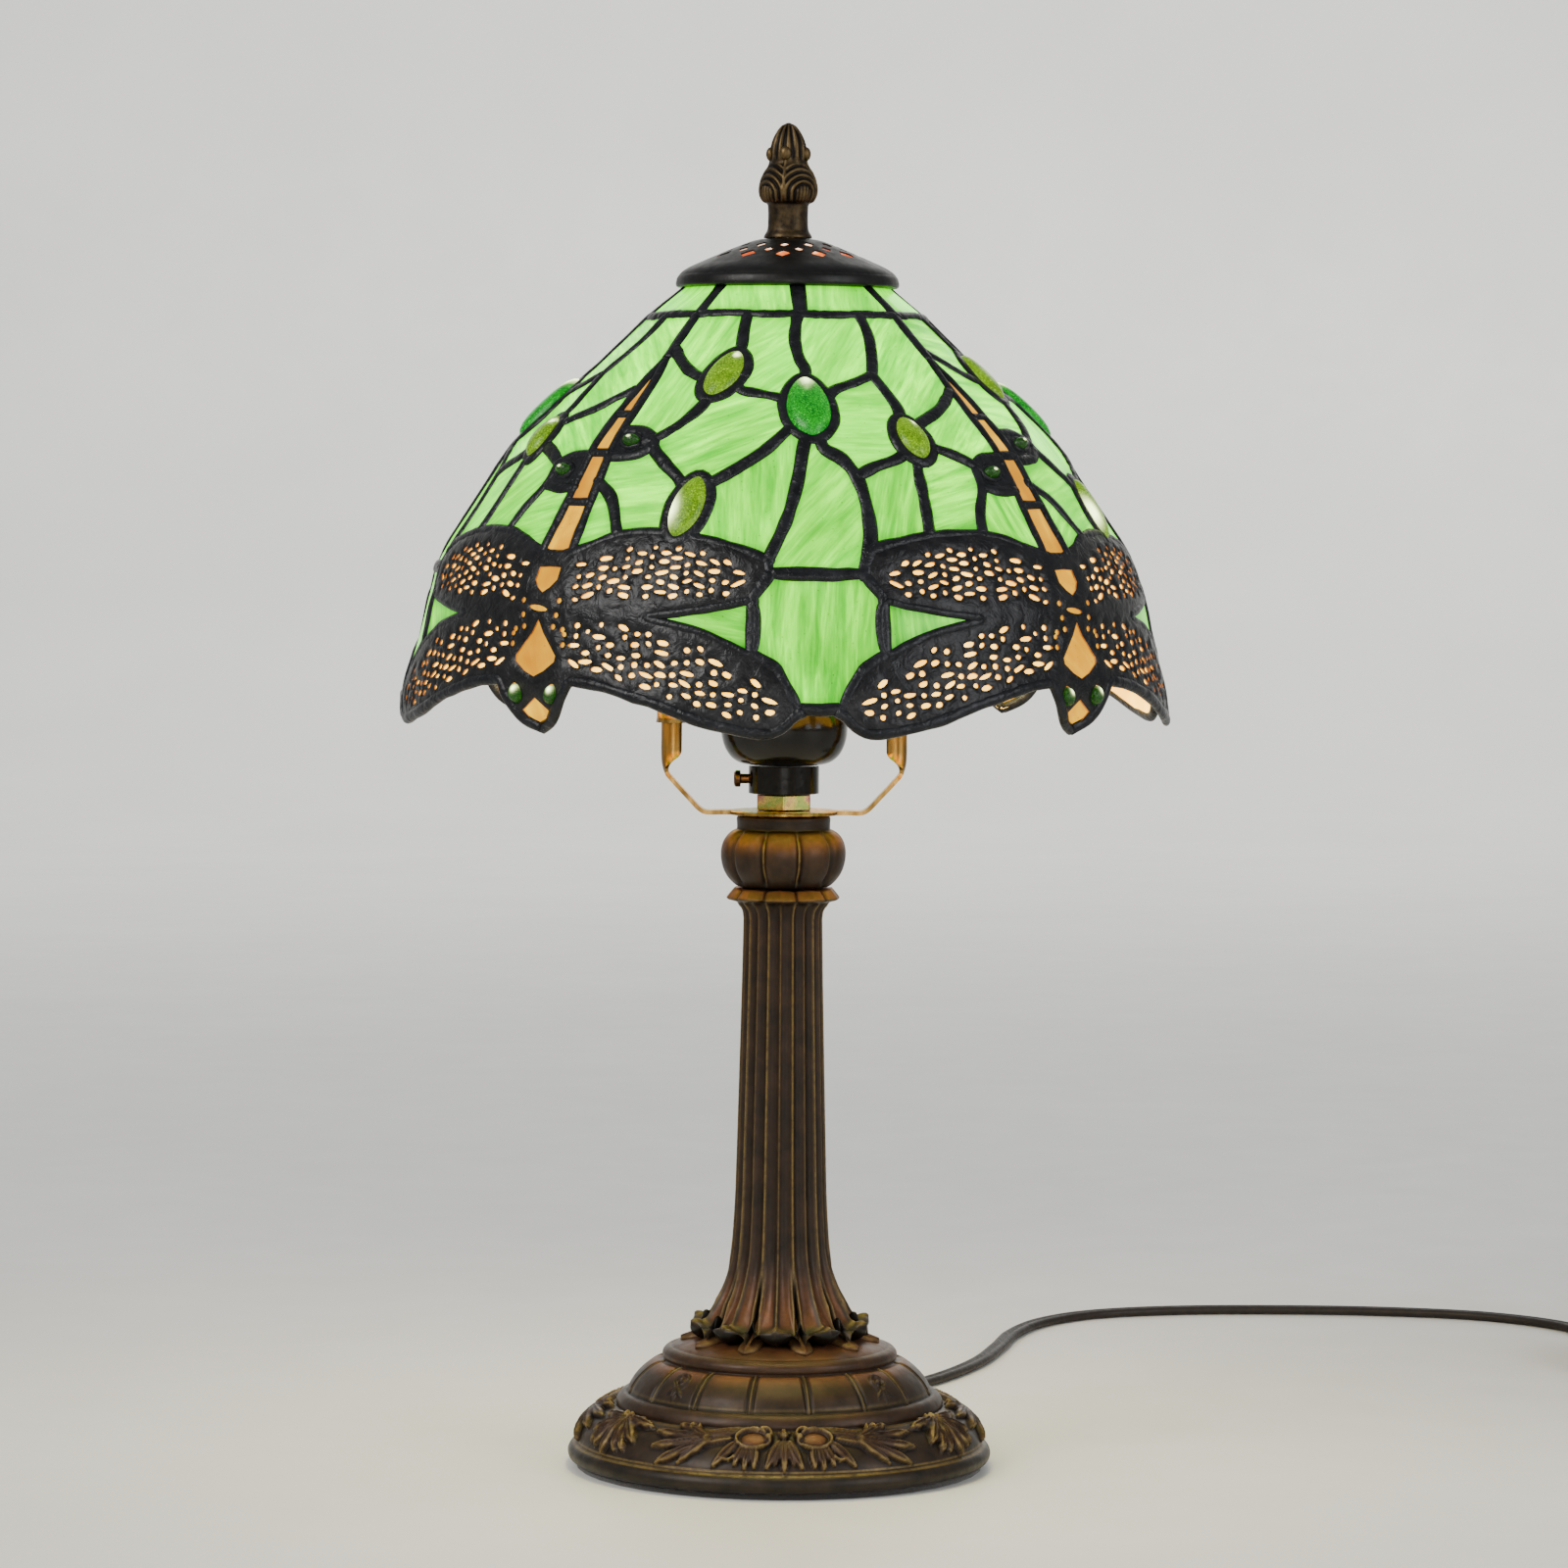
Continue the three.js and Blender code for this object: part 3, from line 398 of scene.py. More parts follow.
class Bits:
    """Collects vertices, faces and per-vertex values of many small shapes for one mesh."""

    def __init__(self, *names):
        self.verts, self.faces, self.values = [], [], {n: [] for n in names}

    def add(self, verts, faces, **values):
        start = len(self.verts)
        self.verts.extend(verts)
        self.faces.extend(tuple(start + i for i in f) for f in faces)
        for name, store in self.values.items():
            value = values.get(name, 0.0)
            store.extend(value if hasattr(value, "__len__") else [value] * len(verts))

    def piece(self, name, material, body, smooth=True):
        made = new_piece(name, self.verts, self.faces, material, body, smooth)
        for key, store in self.values.items():
            paint(made, key, store)
        return made


def polar(radius, azimuth, z):
    a = math.radians(azimuth)
    return radius * math.sin(a), -radius * math.cos(a), z


def smooth_line(points, step, closed=False):
    """Evenly spaced points on a centripetal Catmull-Rom curve through the given ones."""
    p = [np.array(q, float) for q in points]
    if closed:
        p = [p[-1], *p, p[0], p[1]]
    else:
        p = [2 * p[0] - p[1], *p, 2 * p[-1] - p[-2]]
    dense = []
    for i in range(1, len(p) - 2):
        p0, p1, p2, p3 = p[i - 1:i + 3]
        t0 = 0.0
        t1 = t0 + max(np.linalg.norm(p1 - p0), 1e-6) ** 0.5
        t2 = t1 + max(np.linalg.norm(p2 - p1), 1e-6) ** 0.5
        t3 = t2 + max(np.linalg.norm(p3 - p2), 1e-6) ** 0.5
        for t in np.linspace(t1, t2, 12, endpoint=False):
            a1 = (t1 - t) / (t1 - t0) * p0 + (t - t0) / (t1 - t0) * p1
            a2 = (t2 - t) / (t2 - t1) * p1 + (t - t1) / (t2 - t1) * p2
            a3 = (t3 - t) / (t3 - t2) * p2 + (t - t2) / (t3 - t2) * p3
            b1 = (t2 - t) / (t2 - t0) * a1 + (t - t0) / (t2 - t0) * a2
            b2 = (t3 - t) / (t3 - t1) * a2 + (t - t1) / (t3 - t1) * a3
            dense.append((t2 - t) / (t2 - t1) * b1 + (t - t1) / (t2 - t1) * b2)
    dense.append(p[-2])
    return even(dense, step)


def distances(points):
    """How far along its line each point is."""
    return np.concatenate([[0], np.cumsum(np.linalg.norm(np.diff(points, axis=0), axis=1))])


def even(points, step):
    """The same polyline with evenly spaced points, ends kept."""
    p = np.array(points, float)
    length = distances(p)
    count = max(2, int(round(length[-1] / step)) + 1)
    at = np.linspace(0, length[-1], count)
    return np.stack([np.interp(at, length, p[:, k]) for k in range(p.shape[1])], axis=1)


def line_normals(profile):
    """Outward normals of an (r, z) profile that climbs the outside."""
    along = np.gradient(profile, axis=0)
    along /= np.linalg.norm(along, axis=1)[:, None] + 1e-9
    return np.stack([along[:, 1], -along[:, 0]], axis=1)


def ring_faces(rows, size, wrap=False):
    """Quads between successive rings of size points each; wrap joins the last ring to the first."""
    faces = []
    for i in range(rows if wrap else rows - 1):
        a, b = i * size, ((i + 1) % rows) * size
        for j in range(size):
            k = (j + 1) % size
            faces.append((a + j, a + k, b + k, b + j))
    return faces


def end_faces(rows, size):
    """The two faces that close a stack of rings."""
    return [tuple(range(size))[::-1], tuple((rows - 1) * size + j for j in range(size))]


def revolve(profile, count, height=None, wrap=False):
    """Vertices (row by row) and faces of a turned surface; height (rows x count) lifts it outwards."""
    profile = np.asarray(profile, float)
    az = np.radians(np.arange(count) * 360 / count)
    r = np.repeat(profile[:, :1], count, axis=1)
    z = np.repeat(profile[:, 1:], count, axis=1)
    if height is not None:
        n = line_normals(profile)
        r, z = r + height * n[:, :1], z + height * n[:, 1:]
    verts = np.stack([r * np.sin(az), -r * np.cos(az), z], axis=2).reshape(-1, 3)
    return list(verts), ring_faces(len(profile), count, wrap)


def with_bore(profile, count, height, top, low):
    """A turned outside, closed by the lamp pipe's bore; the bore's two rings come last."""
    verts, faces = revolve(profile, count, height)
    last = len(verts) - count
    for z in (top, low):
        verts += [polar(BORE, 360 * j / count, z) for j in range(count)]
    rings = (last, last + count, last + 2 * count, 0)
    for lower, upper in zip(rings, rings[1:]):
        faces += [(lower + j, lower + (j + 1) % count, upper + (j + 1) % count, upper + j)
                  for j in range(count)]
    return verts, faces


def bell(x, width):
    return np.exp(-(x / width) ** 2)


def step_up(low, high, x):
    t = np.clip((x - low) / (high - low), 0, 1)
    return t * t * (3 - 2 * t)


def wear_and_shade(profile, height, strength=1.0):
    """Where a relief is sharply raised or hollow, 0 to 1 each, from its curvature on a turned surface: the
    raised share takes rubbed gold, the hollow share painted shade.
    """
    profile = np.asarray(profile, float)
    up = distances(profile)
    around = 2 * math.pi * np.maximum(profile[:, :1], 1) / height.shape[1]
    bend_up = np.gradient(np.gradient(height, up, axis=0), up, axis=0)
    bend_round = (np.roll(height, 1, axis=1) + np.roll(height, -1, axis=1) - 2 * height) / around ** 2
    bend = bend_up + bend_round
    for _ in range(2):
        bend = (bend + np.roll(bend, 1, axis=1) + np.roll(bend, -1, axis=1)) / 3
        bend[1:-1] = (bend[1:-1] + bend[:-2] + bend[2:]) / 3
    scale = np.percentile(np.abs(bend), 97) + 1e-9
    return np.clip(-bend / scale * strength, 0, 1), np.clip(bend / scale * strength, 0, 1)


def petal_position(count, divisions, turn=0.0):
    """For each azimuth column, where it is in its lobe: -1 and 1 at the valleys, 0 in the middle."""
    az = (np.arange(count) / count - turn / 360) * divisions
    return 2 * (az - np.round(az))


def sweep(line, section, ups=None):
    """A bar along a 3-D line. section is a list of (side, up) offsets, one list or one per point."""
    line = np.array(line, float)
    along = np.gradient(line, axis=0)
    along /= np.linalg.norm(along, axis=1)[:, None] + 1e-9
    verts = []
    sections = section if len(np.shape(section)) == 3 else [section] * len(line)
    size = len(sections[0])
    for i, (p, t) in enumerate(zip(line, along)):
        up = np.array((0, 0, 1.0)) if ups is None else ups[i]
        side = np.cross(t, up)
        side /= np.linalg.norm(side) + 1e-9
        lift = np.cross(side, t)
        verts.extend(p + a * side + b * lift for a, b in sections[i])
    faces = ring_faces(len(line), size) + end_faces(len(line), size)
    return verts, [f[::-1] for f in faces]


def oval_section(a, b, count=10, power=1.0):
    return [(a * math.copysign(abs(math.cos(t)) ** power, math.cos(t)),
             b * math.copysign(abs(math.sin(t)) ** power, math.sin(t)))
            for t in np.linspace(0, 2 * math.pi, count, endpoint=False)]


def ball(centre, radii, axes=None, rings=7, count=12):
    """A closed ellipsoid. axes are three unit vectors for its radii."""
    axes = np.eye(3) if axes is None else np.array(axes, float)
    centre = np.array(centre, float)
    verts = [centre - axes[2] * radii[2]]
    for i in range(1, rings):
        t = -math.pi / 2 + math.pi * i / rings
        for j in range(count):
            a = 2 * math.pi * j / count
            local = (math.cos(t) * math.cos(a) * radii[0], math.cos(t) * math.sin(a) * radii[1],
                     math.sin(t) * radii[2])
            verts.append(centre + local[0] * axes[0] + local[1] * axes[1] + local[2] * axes[2])
    verts.append(centre + axes[2] * radii[2])
    faces = [(0, 1 + (j + 1) % count, 1 + j) for j in range(count)]
    for i in range(rings - 2):
        for j in range(count):
            a, b = 1 + i * count, 1 + (i + 1) * count
            k = (j + 1) % count
            faces.append((a + j, a + k, b + k, b + j))
    last = len(verts) - 1
    base = 1 + (rings - 2) * count
    faces += [(last, base + j, base + (j + 1) % count) for j in range(count)]
    return verts, faces


# ---------------------------------------------------------------- supply cord
REST = 1.6            # height of the cord's middle above the table
LAYER = 2.9           # from one layer of the coil to the next
CORE, CORE_APART, CORD_HALF = 1.35, 1.3, 2.65
LEAD = [polar(82.3, 170, 4.6), polar(92, 170, 3.9), (19.6, 101, 2.8), (26.5, 112, 1.9),
        (35, 124, REST), (44, 137, REST), (54, 156, REST), (64, 182, REST), (71, 211, REST),
        (77, 240, REST), (87, 265, REST), (104, 284, REST), (130, 295, REST), (165, 299, REST),
        (205, 297, REST), (238, 288, REST), (261, 269, REST), (271, 246, REST), (272, 224.3, REST)]
TAIL_X = 272          # the straight run through the switch to the plug
COIL_X, COIL_Y = 311.9, 95.0
COIL_OUT, COIL_IN, COIL_TURNS = 39.9, 23.4, 6
STEPS = 60            # points in each turn of the coil


def coil_points():
    """Three turns spiral inwards on the floor, then three spiral back out on top of them."""
    points = []
    half = COIL_TURNS / 2
    for i in range(COIL_TURNS * STEPS + 1):
        turn = i / STEPS
        inward = turn / half if turn <= half else 2 - turn / half
        radius = COIL_OUT + (COIL_IN - COIL_OUT) * inward
        theta = math.pi + 2 * math.pi * turn
        z = REST + LAYER * float(step_up(half - 0.09, half + 0.09, turn))
        z += 0.75 * float(bell(abs((turn % 1) - 0.5), 0.09))
        points.append((COIL_X + radius * math.cos(theta), COIL_Y + radius * math.sin(theta), z))
    return points


def cord_route():
    lead = [tuple(p) for p in smooth_line(LEAD, 3.0)]
    straight = [(TAIL_X, y, REST) for y in np.linspace(221, 98, 36)]
    end = [(TAIL_X, y, REST + LAYER + 2.4 * float(step_up(90, 64, y))) for y in np.linspace(93, 60.3, 12)]
    return lead + straight + coil_points() + end


def cord_section():
    """Two round cores side by side, with a groove between them."""
    points = []
    for t in np.linspace(0, 2 * math.pi, 20, endpoint=False):
        across = CORD_HALF * math.cos(t)
        lobe = math.sqrt(max(0.0, CORE ** 2 - (abs(across) - CORE_APART) ** 2))
        groove = 1.0 - 0.28 * math.exp(-(across / 0.42) ** 2)
        at_side = abs(math.sin(t)) <= 1e-6
        points.append((across, 0 if at_side else math.copysign(lobe * groove, math.sin(t))))
    return points


def make_cord():
    route = cord_route()
    verts, faces = sweep(route, cord_section())
    cord = new_piece("supply_cord", verts, faces, VINYL, "root")
    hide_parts("cord_lead", "cord_tail", "cord_coil", "cord_end")


make_cord()


# ---------------------------------------------------------------- base
def base_outline():
    """The casting's outside, from the rim's foot up to the middle of the dome, and each part's rows in it."""
    parts = [
        smooth_line([(58, 1.8), (60, 2.3), (60.8, 4.2), (60.1, 6.0), (58.9, 6.9)], 0.45),
        smooth_line([(58.4, 7.3), (57.9, 8.9), (56.5, 11.2), (54, 13.8), (51, 15.9), (48.8, 17.1),
                     (47.3, 17.6)], 0.3),
        smooth_line([(46.9, 17.6), (47.0, 18.4), (46.6, 19.7), (45.7, 20.9), (44.6, 21.5),
                     (44.0, 21.5)], 0.35),
        smooth_line([(43.8, 21.8), (42.9, 23.1), (41.4, 25.4), (39.2, 27.7), (36.6, 29.6),
                     (33.9, 30.7)], 0.3),
        smooth_line([(33.3, 30.9), (33.7, 31.8), (33.6, 33.0), (32.8, 34.0), (31.4, 34.6)], 0.35),
        smooth_line([(31.0, 34.5), (30.2, 35.0), (27, 36.1), (22, 37.1), (18, 37.2)], 0.6),
        np.array([(BORE, 37.2)]),
    ]
    ends = np.cumsum([len(part) for part in parts])
    return np.concatenate(parts), [slice(end - len(part), end) for end, part in zip(ends, parts)]


def leaf_shape(x, y, root, tip, width, bend=0.0, veins=2, lobes=0.0):
    """Height of one carved leaf at (x, y): a tapered blade from root to tip with a grooved middle."""
    root, tip = np.array(root, float), np.array(tip, float)
    along = tip - root
    length = np.linalg.norm(along)
    along /= length
    side = np.array((-along[1], along[0]))
    u = ((x - root[0]) * along[0] + (y - root[1]) * along[1]) / length
    v = (x - root[0]) * side[0] + (y - root[1]) * side[1] - bend * 4 * u * (1 - u)
    inside = np.clip(u, 0, 1)
    half = width * (np.sin(np.pi * inside ** 0.75) ** 0.8 * (1 - 0.25 * inside) + 0.06)
    half = half * (1 + lobes * np.sin(inside * 3 * 2 * np.pi))
    across = np.abs(v) / np.maximum(half, 1e-3)
    dome = np.clip(1 - across ** 2.4, 0, 1) ** 0.6
    dome *= step_up(-0.04, 0.06, u) * (1 - step_up(0.94, 1.04, u))
    crease = 0.62 * bell(v, 0.22) * dome
    veined = 0.14 * np.cos(np.pi * veins * across) * dome
    return np.clip(dome * 0.92 - crease + veined, 0, None)


def arc_shape(x, y, centre, radius, width, start, end, taper=0.35):
    """Height of a carved round cord that runs along an arc."""
    dx, dy = x - centre[0], y - centre[1]
    angle = np.degrees(np.arctan2(dy, dx))
    span = (angle - start) % 360
    share = span / ((end - start) % 360 or 360)
    w = width * (1 - taper * np.clip(share, 0, 1))
    body = np.clip(1 - (np.abs(np.hypot(dx, dy) - radius) / w) ** 2, 0, 1) ** 0.5
    return body * (share <= 1)


def band_relief(x, y):
    """Carving of the leaf band, for one repeat. x runs sideways from its middle, y up the slope, in mm.

    Returns the height and where the smooth medallions are."""
    ax = np.abs(x)
    carve = np.zeros_like(x)

    def put(height, level):
        nonlocal carve
        carve = np.maximum(carve, height * level)

    # Middle palmette: a pointed petal and rounded lobes under a bead.
    put(leaf_shape(ax, y, (0.0, 10.6), (0.001, -0.2), 1.5), 1.65)
    for tip, width in (((2.6, 1.6), 1.2), ((5.0, 0.9), 1.9)):
        put(leaf_shape(ax, y, (0.7, 10.2), tip, width), 1.45)
    put(np.clip(1 - (ax ** 2 + (y - 11.6) ** 2) / 2.1, 0, 1) ** 0.5, 1.9)
    put(leaf_shape(ax, y, (0.0, 12.6), (0.001, 15.9), 1.0), 1.3)
    put(leaf_shape(ax, y, (0.6, 12.4), (2.4, 14.6), 0.7), 1.1)
    # A scroll with a ball eye, round an oval medallion.
    put(np.clip(1 - ((ax - 4.6) ** 2 + (y - 11.2) ** 2) / 1.6, 0, 1) ** 0.5, 1.7)
    put(arc_shape(ax, y, (6.0, 12.4), 2.2, 0.7, 60, 200, 0.1), 1.5)
    oval = np.hypot((ax - 9.0) / 4.4, (y - 10.6) / 3.1)
    put(bell(oval - 1.12, 0.14) * (1 - 0.5 * bell(ax - 4.6, 1.0)), 1.6)
    medallion = np.clip(1 - oval ** 2, 0, 1) ** 0.5
    put(medallion, 0.85)
    # Ridged shell lobes under the medallion, and the leaf that droops beside them.
    for root, tip, width in (((8.2, 7.9), (7.9, 0.9), 1.5), ((9.6, 7.8), (10.6, 0.6), 1.6),
                             ((11.4, 8.2), (13.4, 1.6), 1.5), ((13.2, 9.4), (19.4, 1.0), 1.9)):
        put(leaf_shape(ax, y, root, tip, width), 1.5)
    put(arc_shape(ax, y, (15.6, 5.6), 2.2, 0.5, 200, 330, 0.2), 1.2)
    # The long spray: ribbed stems, a curl above, and the fingers at its end.
    put(leaf_shape(ax, y, (9.0, 14.4), (26, 11.4), 1.3, 0.6), 1.5)
    put(leaf_shape(ax, y, (13.0, 12.6), (27, 8.8), 1.3, 0.8), 1.6)
    put(leaf_shape(ax, y, (14.4, 10.6), (27, 5.6), 1.25, 1.0), 1.4)
    put(arc_shape(ax, y, (28.4, 13.9), 1.5, 0.65, -90, 190, 0.3), 1.4)
    for tip, width in (((35.2, 15.2), 2.1), ((30.6, 13.2), 1.3), ((41.2, 10.8), 2.3), ((39.8, 5.4), 2.3),
                       ((36.6, 0.6), 2.2), ((29.6, 1.2), 1.5)):
        put(leaf_shape(ax, y, (21.4, 9.6), tip, width, lobes=0.12), 1.7)
    return carve, (medallion > 0.25) * (carve < 0.95)


def drooping_leaves(x, y):
    """The hanging acanthus cluster between two sprays."""
    ax = np.abs(x)
    carve = np.zeros_like(x)
    for root, tip, width in (((0.3, 13.2), (0.001, -0.1), 2.5), ((0.8, 12.6), (5.4, 1.6), 2.4),
                             ((1.4, 12.8), (11.2, 5.4), 2.4), ((1.6, 13.4), (14.6, 12.0), 2.1),
                             ((3.8, 9.0), (8.6, 2.2), 1.5)):
        carve = np.maximum(carve, leaf_shape(ax, y, root, tip, width, lobes=0.14) * 1.7)
    carve = np.maximum(carve, arc_shape(x, y, (-1.6, 14.4), 1.6, 0.6, -60, 210, 0.3) * 1.5)
    return carve, np.zeros_like(x)


def scroll_mark(x, y):
    """A generic curl over a small palmette, raised on four of the panels."""
    mark = arc_shape(x, y, (0.2, 8.0), 2.3, 0.62, -60, 250, 0.25)
    mark = np.maximum(mark, np.clip(1 - (x ** 2 + (y - 8.0) ** 2) / 0.9, 0, 1) ** 0.5)
    for tip, width in (((0.001, 1.2), 0.9), ((2.9, 2.8), 0.75), ((-2.9, 2.8), 0.75)):
        mark = np.maximum(mark, leaf_shape(x, y, (0.0, 5.4), tip, width))
    return mark


def make_base():
    outline, spans = base_outline()
    count = 1080
    az = np.arange(count) * 360 / count
    height = np.zeros((len(outline), count))
    gold, copper, hollow = (np.zeros_like(height) for _ in range(3))
    rim, band, ring, panel, upper, dome = spans[:6]

    def flat_patch(turn, reach, radius, up):
        """The columns within reach degrees of an azimuth, and their flat x and y in mm."""
        away = (az - turn + 180) % 360 - 180
        near = np.abs(away) < reach
        x = np.repeat(away[None, near] * math.pi / 180 * radius, len(up), axis=0)
        return near, x, np.repeat(up[:, None], near.sum(), axis=1)

    # Rim: a thin gold line at its top.
    gold[rim.stop - 2:rim.stop] = 0.6
    copper[rim.start + 2:rim.start + 5] = 0.18

    # Leaf band: three repeats of a spray to both sides and a drooping cluster.
    rows = outline[band]
    up = distances(rows)
    carve, smooth = np.zeros((len(rows), count)), np.zeros((len(rows), count))
    for k in range(3):
        for turn, relief in ((120 * k + 1.5, band_relief), (120 * k + 61.5, drooping_leaves)):
            near, x, y = flat_patch(turn, 47, 54.5, up * (15.6 / up[-1]))
            found, plain = relief(x, y)
            smooth[:, near] = np.where(found > carve[:, near], plain, smooth[:, near])
            carve[:, near] = np.maximum(carve[:, near], found)
    carve = carve * (1 - step_up(up[-1] - 0.7, up[-1], up))[:, None]
    height[band] = 1.4 * carve
    ridge, groove = wear_and_shade(rows, height[band], 1.5)
    on_leaf = step_up(0.25, 0.7, carve)
    gold[band] = np.clip(0.85 * ridge ** 2.4 * on_leaf, 0, 1)
    copper[band] = np.maximum(0.06 + 0.2 * on_leaf, 0.62 * smooth)
    # Painted shade at the leaves' feet, in grooves, and on the leaves away from their ridges and medallions.
    at_foot = step_up(0.0, 0.25, carve) * (1 - step_up(0.25, 0.8, carve))
    hollow[band] = np.clip(0.8 * groove + 0.75 * at_foot + 0.4 * on_leaf * (1 - ridge) * (1 - smooth), 0, 1)
    for edge, least in ((slice(band.start + 1, band.start + 3), 0.55),
                        (slice(band.stop - 6, band.stop - 1), 0.22)):
        gold[edge] = np.maximum(gold[edge], least)
    hollow[band.stop - 1] = 0.8

    # Lower ring.
    copper[ring] = 0.14
    hollow[ring.start] = 1
    hollow[ring.stop - 2:ring.stop] = 0.7

    # Ring of raised panels.
    rows = outline[panel]
    up = distances(rows)
    share = up / up[-1]
    around = petal_position(count, PANELS)[None, :]
    half_width = (rows[:, 0] * math.pi / PANELS)[:, None]
    from_edge = (1 - np.abs(around)) * half_width
    upright = step_up(0.04, 0.14, share) * (1 - step_up(0.9, 0.98, share))
    sunk = step_up(0.7, 1.5, from_edge) * upright[:, None]
    foot = bell(up[:, None] - 0.9, 0.45) * np.ones_like(from_edge)
    height[panel] = 0.3 * bell(from_edge, 0.3) - 0.35 * bell(from_edge - 0.75, 0.45) + 0.3 * sunk
    gold[panel] = np.maximum(0.5 * bell(from_edge, 0.26), 0.25 * foot)
    # Copper more towards each panel's top: copper finish with painted warm light from above.
    copper[panel] = (0.08 + 0.8 * step_up(0.5, 0.95, share))[:, None] * (0.25 + 0.75 * sunk)
    # Painted shade in the grooves between panels and at their foot.
    hollow[panel] = np.maximum(0.55 * bell(from_edge - 0.75, 0.4), 0.7 * bell(up[:, None], 0.5))
    for turn, mirror in ((-45, 1), (45, -1), (135, 1), (225, -1)):
        near, x, y = flat_patch(turn, 7, 41, up)
        mark = scroll_mark(x * mirror, y)
        block = (panel, near)
        height[block] += 0.95 * mark
        # Painted shade round the edge of each mark.
        hollow[block] = np.maximum(hollow[block], 0.9 * bell(mark - 0.25, 0.22) * (mark > 0))
        copper[block] *= 1 - 0.6 * (mark > 0.4)

    # Upper ring and dome.
    copper[upper] = 0.22
    gold[upper.stop - 2:upper.stop] = 0.28
    hollow[upper.start] = 0.9
    # Copper strongest towards the top of the dome: copper finish with painted warm light from above.
    copper[dome] = (0.75 - 0.35 * step_up(23, 30, outline[dome, 0]))[:, None]
    hollow[dome.start] = 0.8

    # The hollow underside keeps its profile, so its height is nil.
    inside = np.array([(BORE, 33.2), (24, 33.2), (33.5, 27.5), (38, 24), (41, 18.6), (54, 8.6), (56, 5),
                       (56, 1.8)])
    pad = np.zeros((len(inside), count))
    verts, faces = revolve(np.concatenate([outline, inside]), count, np.concatenate([height, pad]), wrap=True)
    base = new_piece("base_relief", verts, faces, BRONZE, "root")
    # The inside gets painted shade of 0.6 all over.
    for name, values, rest in (("gold", gold, 0), ("copper", copper, 0), ("hollow", hollow, 0.6)):
        paint(base, name, np.concatenate([values, pad + rest]))
    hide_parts("base_casting")


make_base()


# ---------------------------------------------------------------- column and knop
def make_column():
    count = 60 * PETALS
    foot = smooth_line([(20.5, 37.5), (22.6, 37.55), (24.8, 38.2), (26.2, 39.6), (26.4, 41.2), (25.6, 42.3),
                        (24.3, 42.2), (22.9, 42.0), (21.2, 43.3), (19.4, 46.2), (17.2, 50.2), (15.2, 55.8),
                        (13.9, 61), (13.1, 70), (12.6, 80)], 0.5)
    shaft = smooth_line([(12.6, 80.6), (12.0, 105), (11.2, 140), (10.9, 157.4)], 1.1)
    calyx = smooth_line([(10.95, 158), (11.3, 160), (12.4, 161.6), (14.6, 162.6), (16.2, 163.2),
                         (16.5, 163.7), (16.0, 164.5), (15.0, 165.7), (14.4, 166.4)], 0.35)
    outline = np.concatenate([foot, shaft, calyx])
    z = outline[:, 1][:, None]
    u = petal_position(count, PETALS, -3)[None, :]
    a = np.abs(u)
    size = outline[:, 0][:, None] / 12
    in_foot = 1 - step_up(46, 62, z)
    in_calyx = step_up(161.5, 163, z)
    # On the shaft neighbours share one ridge in the valley; at the foot they part, and each has its own two.
    valley = bell(1 - a, 0.085)
    own = bell(a - 0.82, 0.075)
    rib = bell(u, 0.06)
    flute = np.clip(1 - (np.abs(a - 0.5) / 0.42) ** 2.2, 0, 1)
    in_shaft = 1 - in_foot
    body = in_shaft * (0.45 * valley - 0.75 * flute + 0.25 * rib)
    body = body + in_foot * (0.42 * own - 1.5 * valley - 0.85 * flute + 0.42 * rib)
    reach = np.clip((outline[:, 0][:, None] - 18.5) / 6.5, 0, 1) * in_foot
    below = 1 - step_up(39.4, 41.6, z)
    height = size * body * (1 - 0.85 * reach) - reach * (4.4 * a ** 2.8 + 1.0 * valley + 1.6 * below * a ** 2)
    # The tip curls up in the middle of each petal.
    height += 0.7 * reach * bell(u, 0.1) * bell(z - 42.2, 0.5)
    height = height * (1 - 0.8 * in_calyx) - in_calyx * (1.0 * a ** 6 + 0.45 * valley)
    notch = bell(u, 0.13) * bell(z - 162.6, 0.6)
    height = height - 0.55 * notch
    _, hole = wear_and_shade(outline, height, 1.3)
    plain_shaft = in_shaft * (1 - in_calyx)
    gold = (0.7 * valley + 0.35 * rib) * plain_shaft + in_foot * (0.75 * own + 0.6 * rib)
    gold = gold * (1 - 0.85 * reach) + 0.6 * bell(z - 42.35, 0.3) * in_foot * bell(u, 0.3)
    gold = np.clip(gold + 0.35 * in_calyx * bell(z - 163.6, 0.4), 0, 1)
    # Copper on the tops of the foot's petals and on the calyx: copper finish with painted warm light from
    # above.
    copper = in_foot * step_up(42.4, 44, z) * (0.85 - 0.3 * a) * step_up(0, 0.6, flute) + 0.1 * in_shaft
    copper = copper + 0.6 * in_calyx * step_up(163.4, 164.2, z) * (1 - 0.5 * valley)
    # Painted shade in the valleys, under the petal tips, in the flutes, hollows and notches.
    under = 1 - step_up(40.6, 41.8, z)
    hollow = valley * in_foot + 0.9 * under + 0.42 * flute * plain_shaft + 0.3 * hole + 0.8 * notch
    hollow = np.clip(hollow, 0, 1)
    verts, faces = with_bore(outline, count, height, 166.4, 37.5)
    bits = Bits("gold", "copper", "hollow")
    spare = np.zeros(2 * count)
    bits.add(verts, faces, gold=np.concatenate([gold.ravel(), spare]),
             copper=np.concatenate([copper.ravel(), spare]), hollow=np.concatenate([hollow.ravel(), spare]))
    for k in range(PETALS):
        dart_verts, dart_faces, shine = dart(15 + 36 * k)
        bits.add(dart_verts, dart_faces, gold=shine, copper=0.45, hollow=0.0)
    column = bits.piece("fluted_column", BRONZE, "root")
    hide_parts("column")


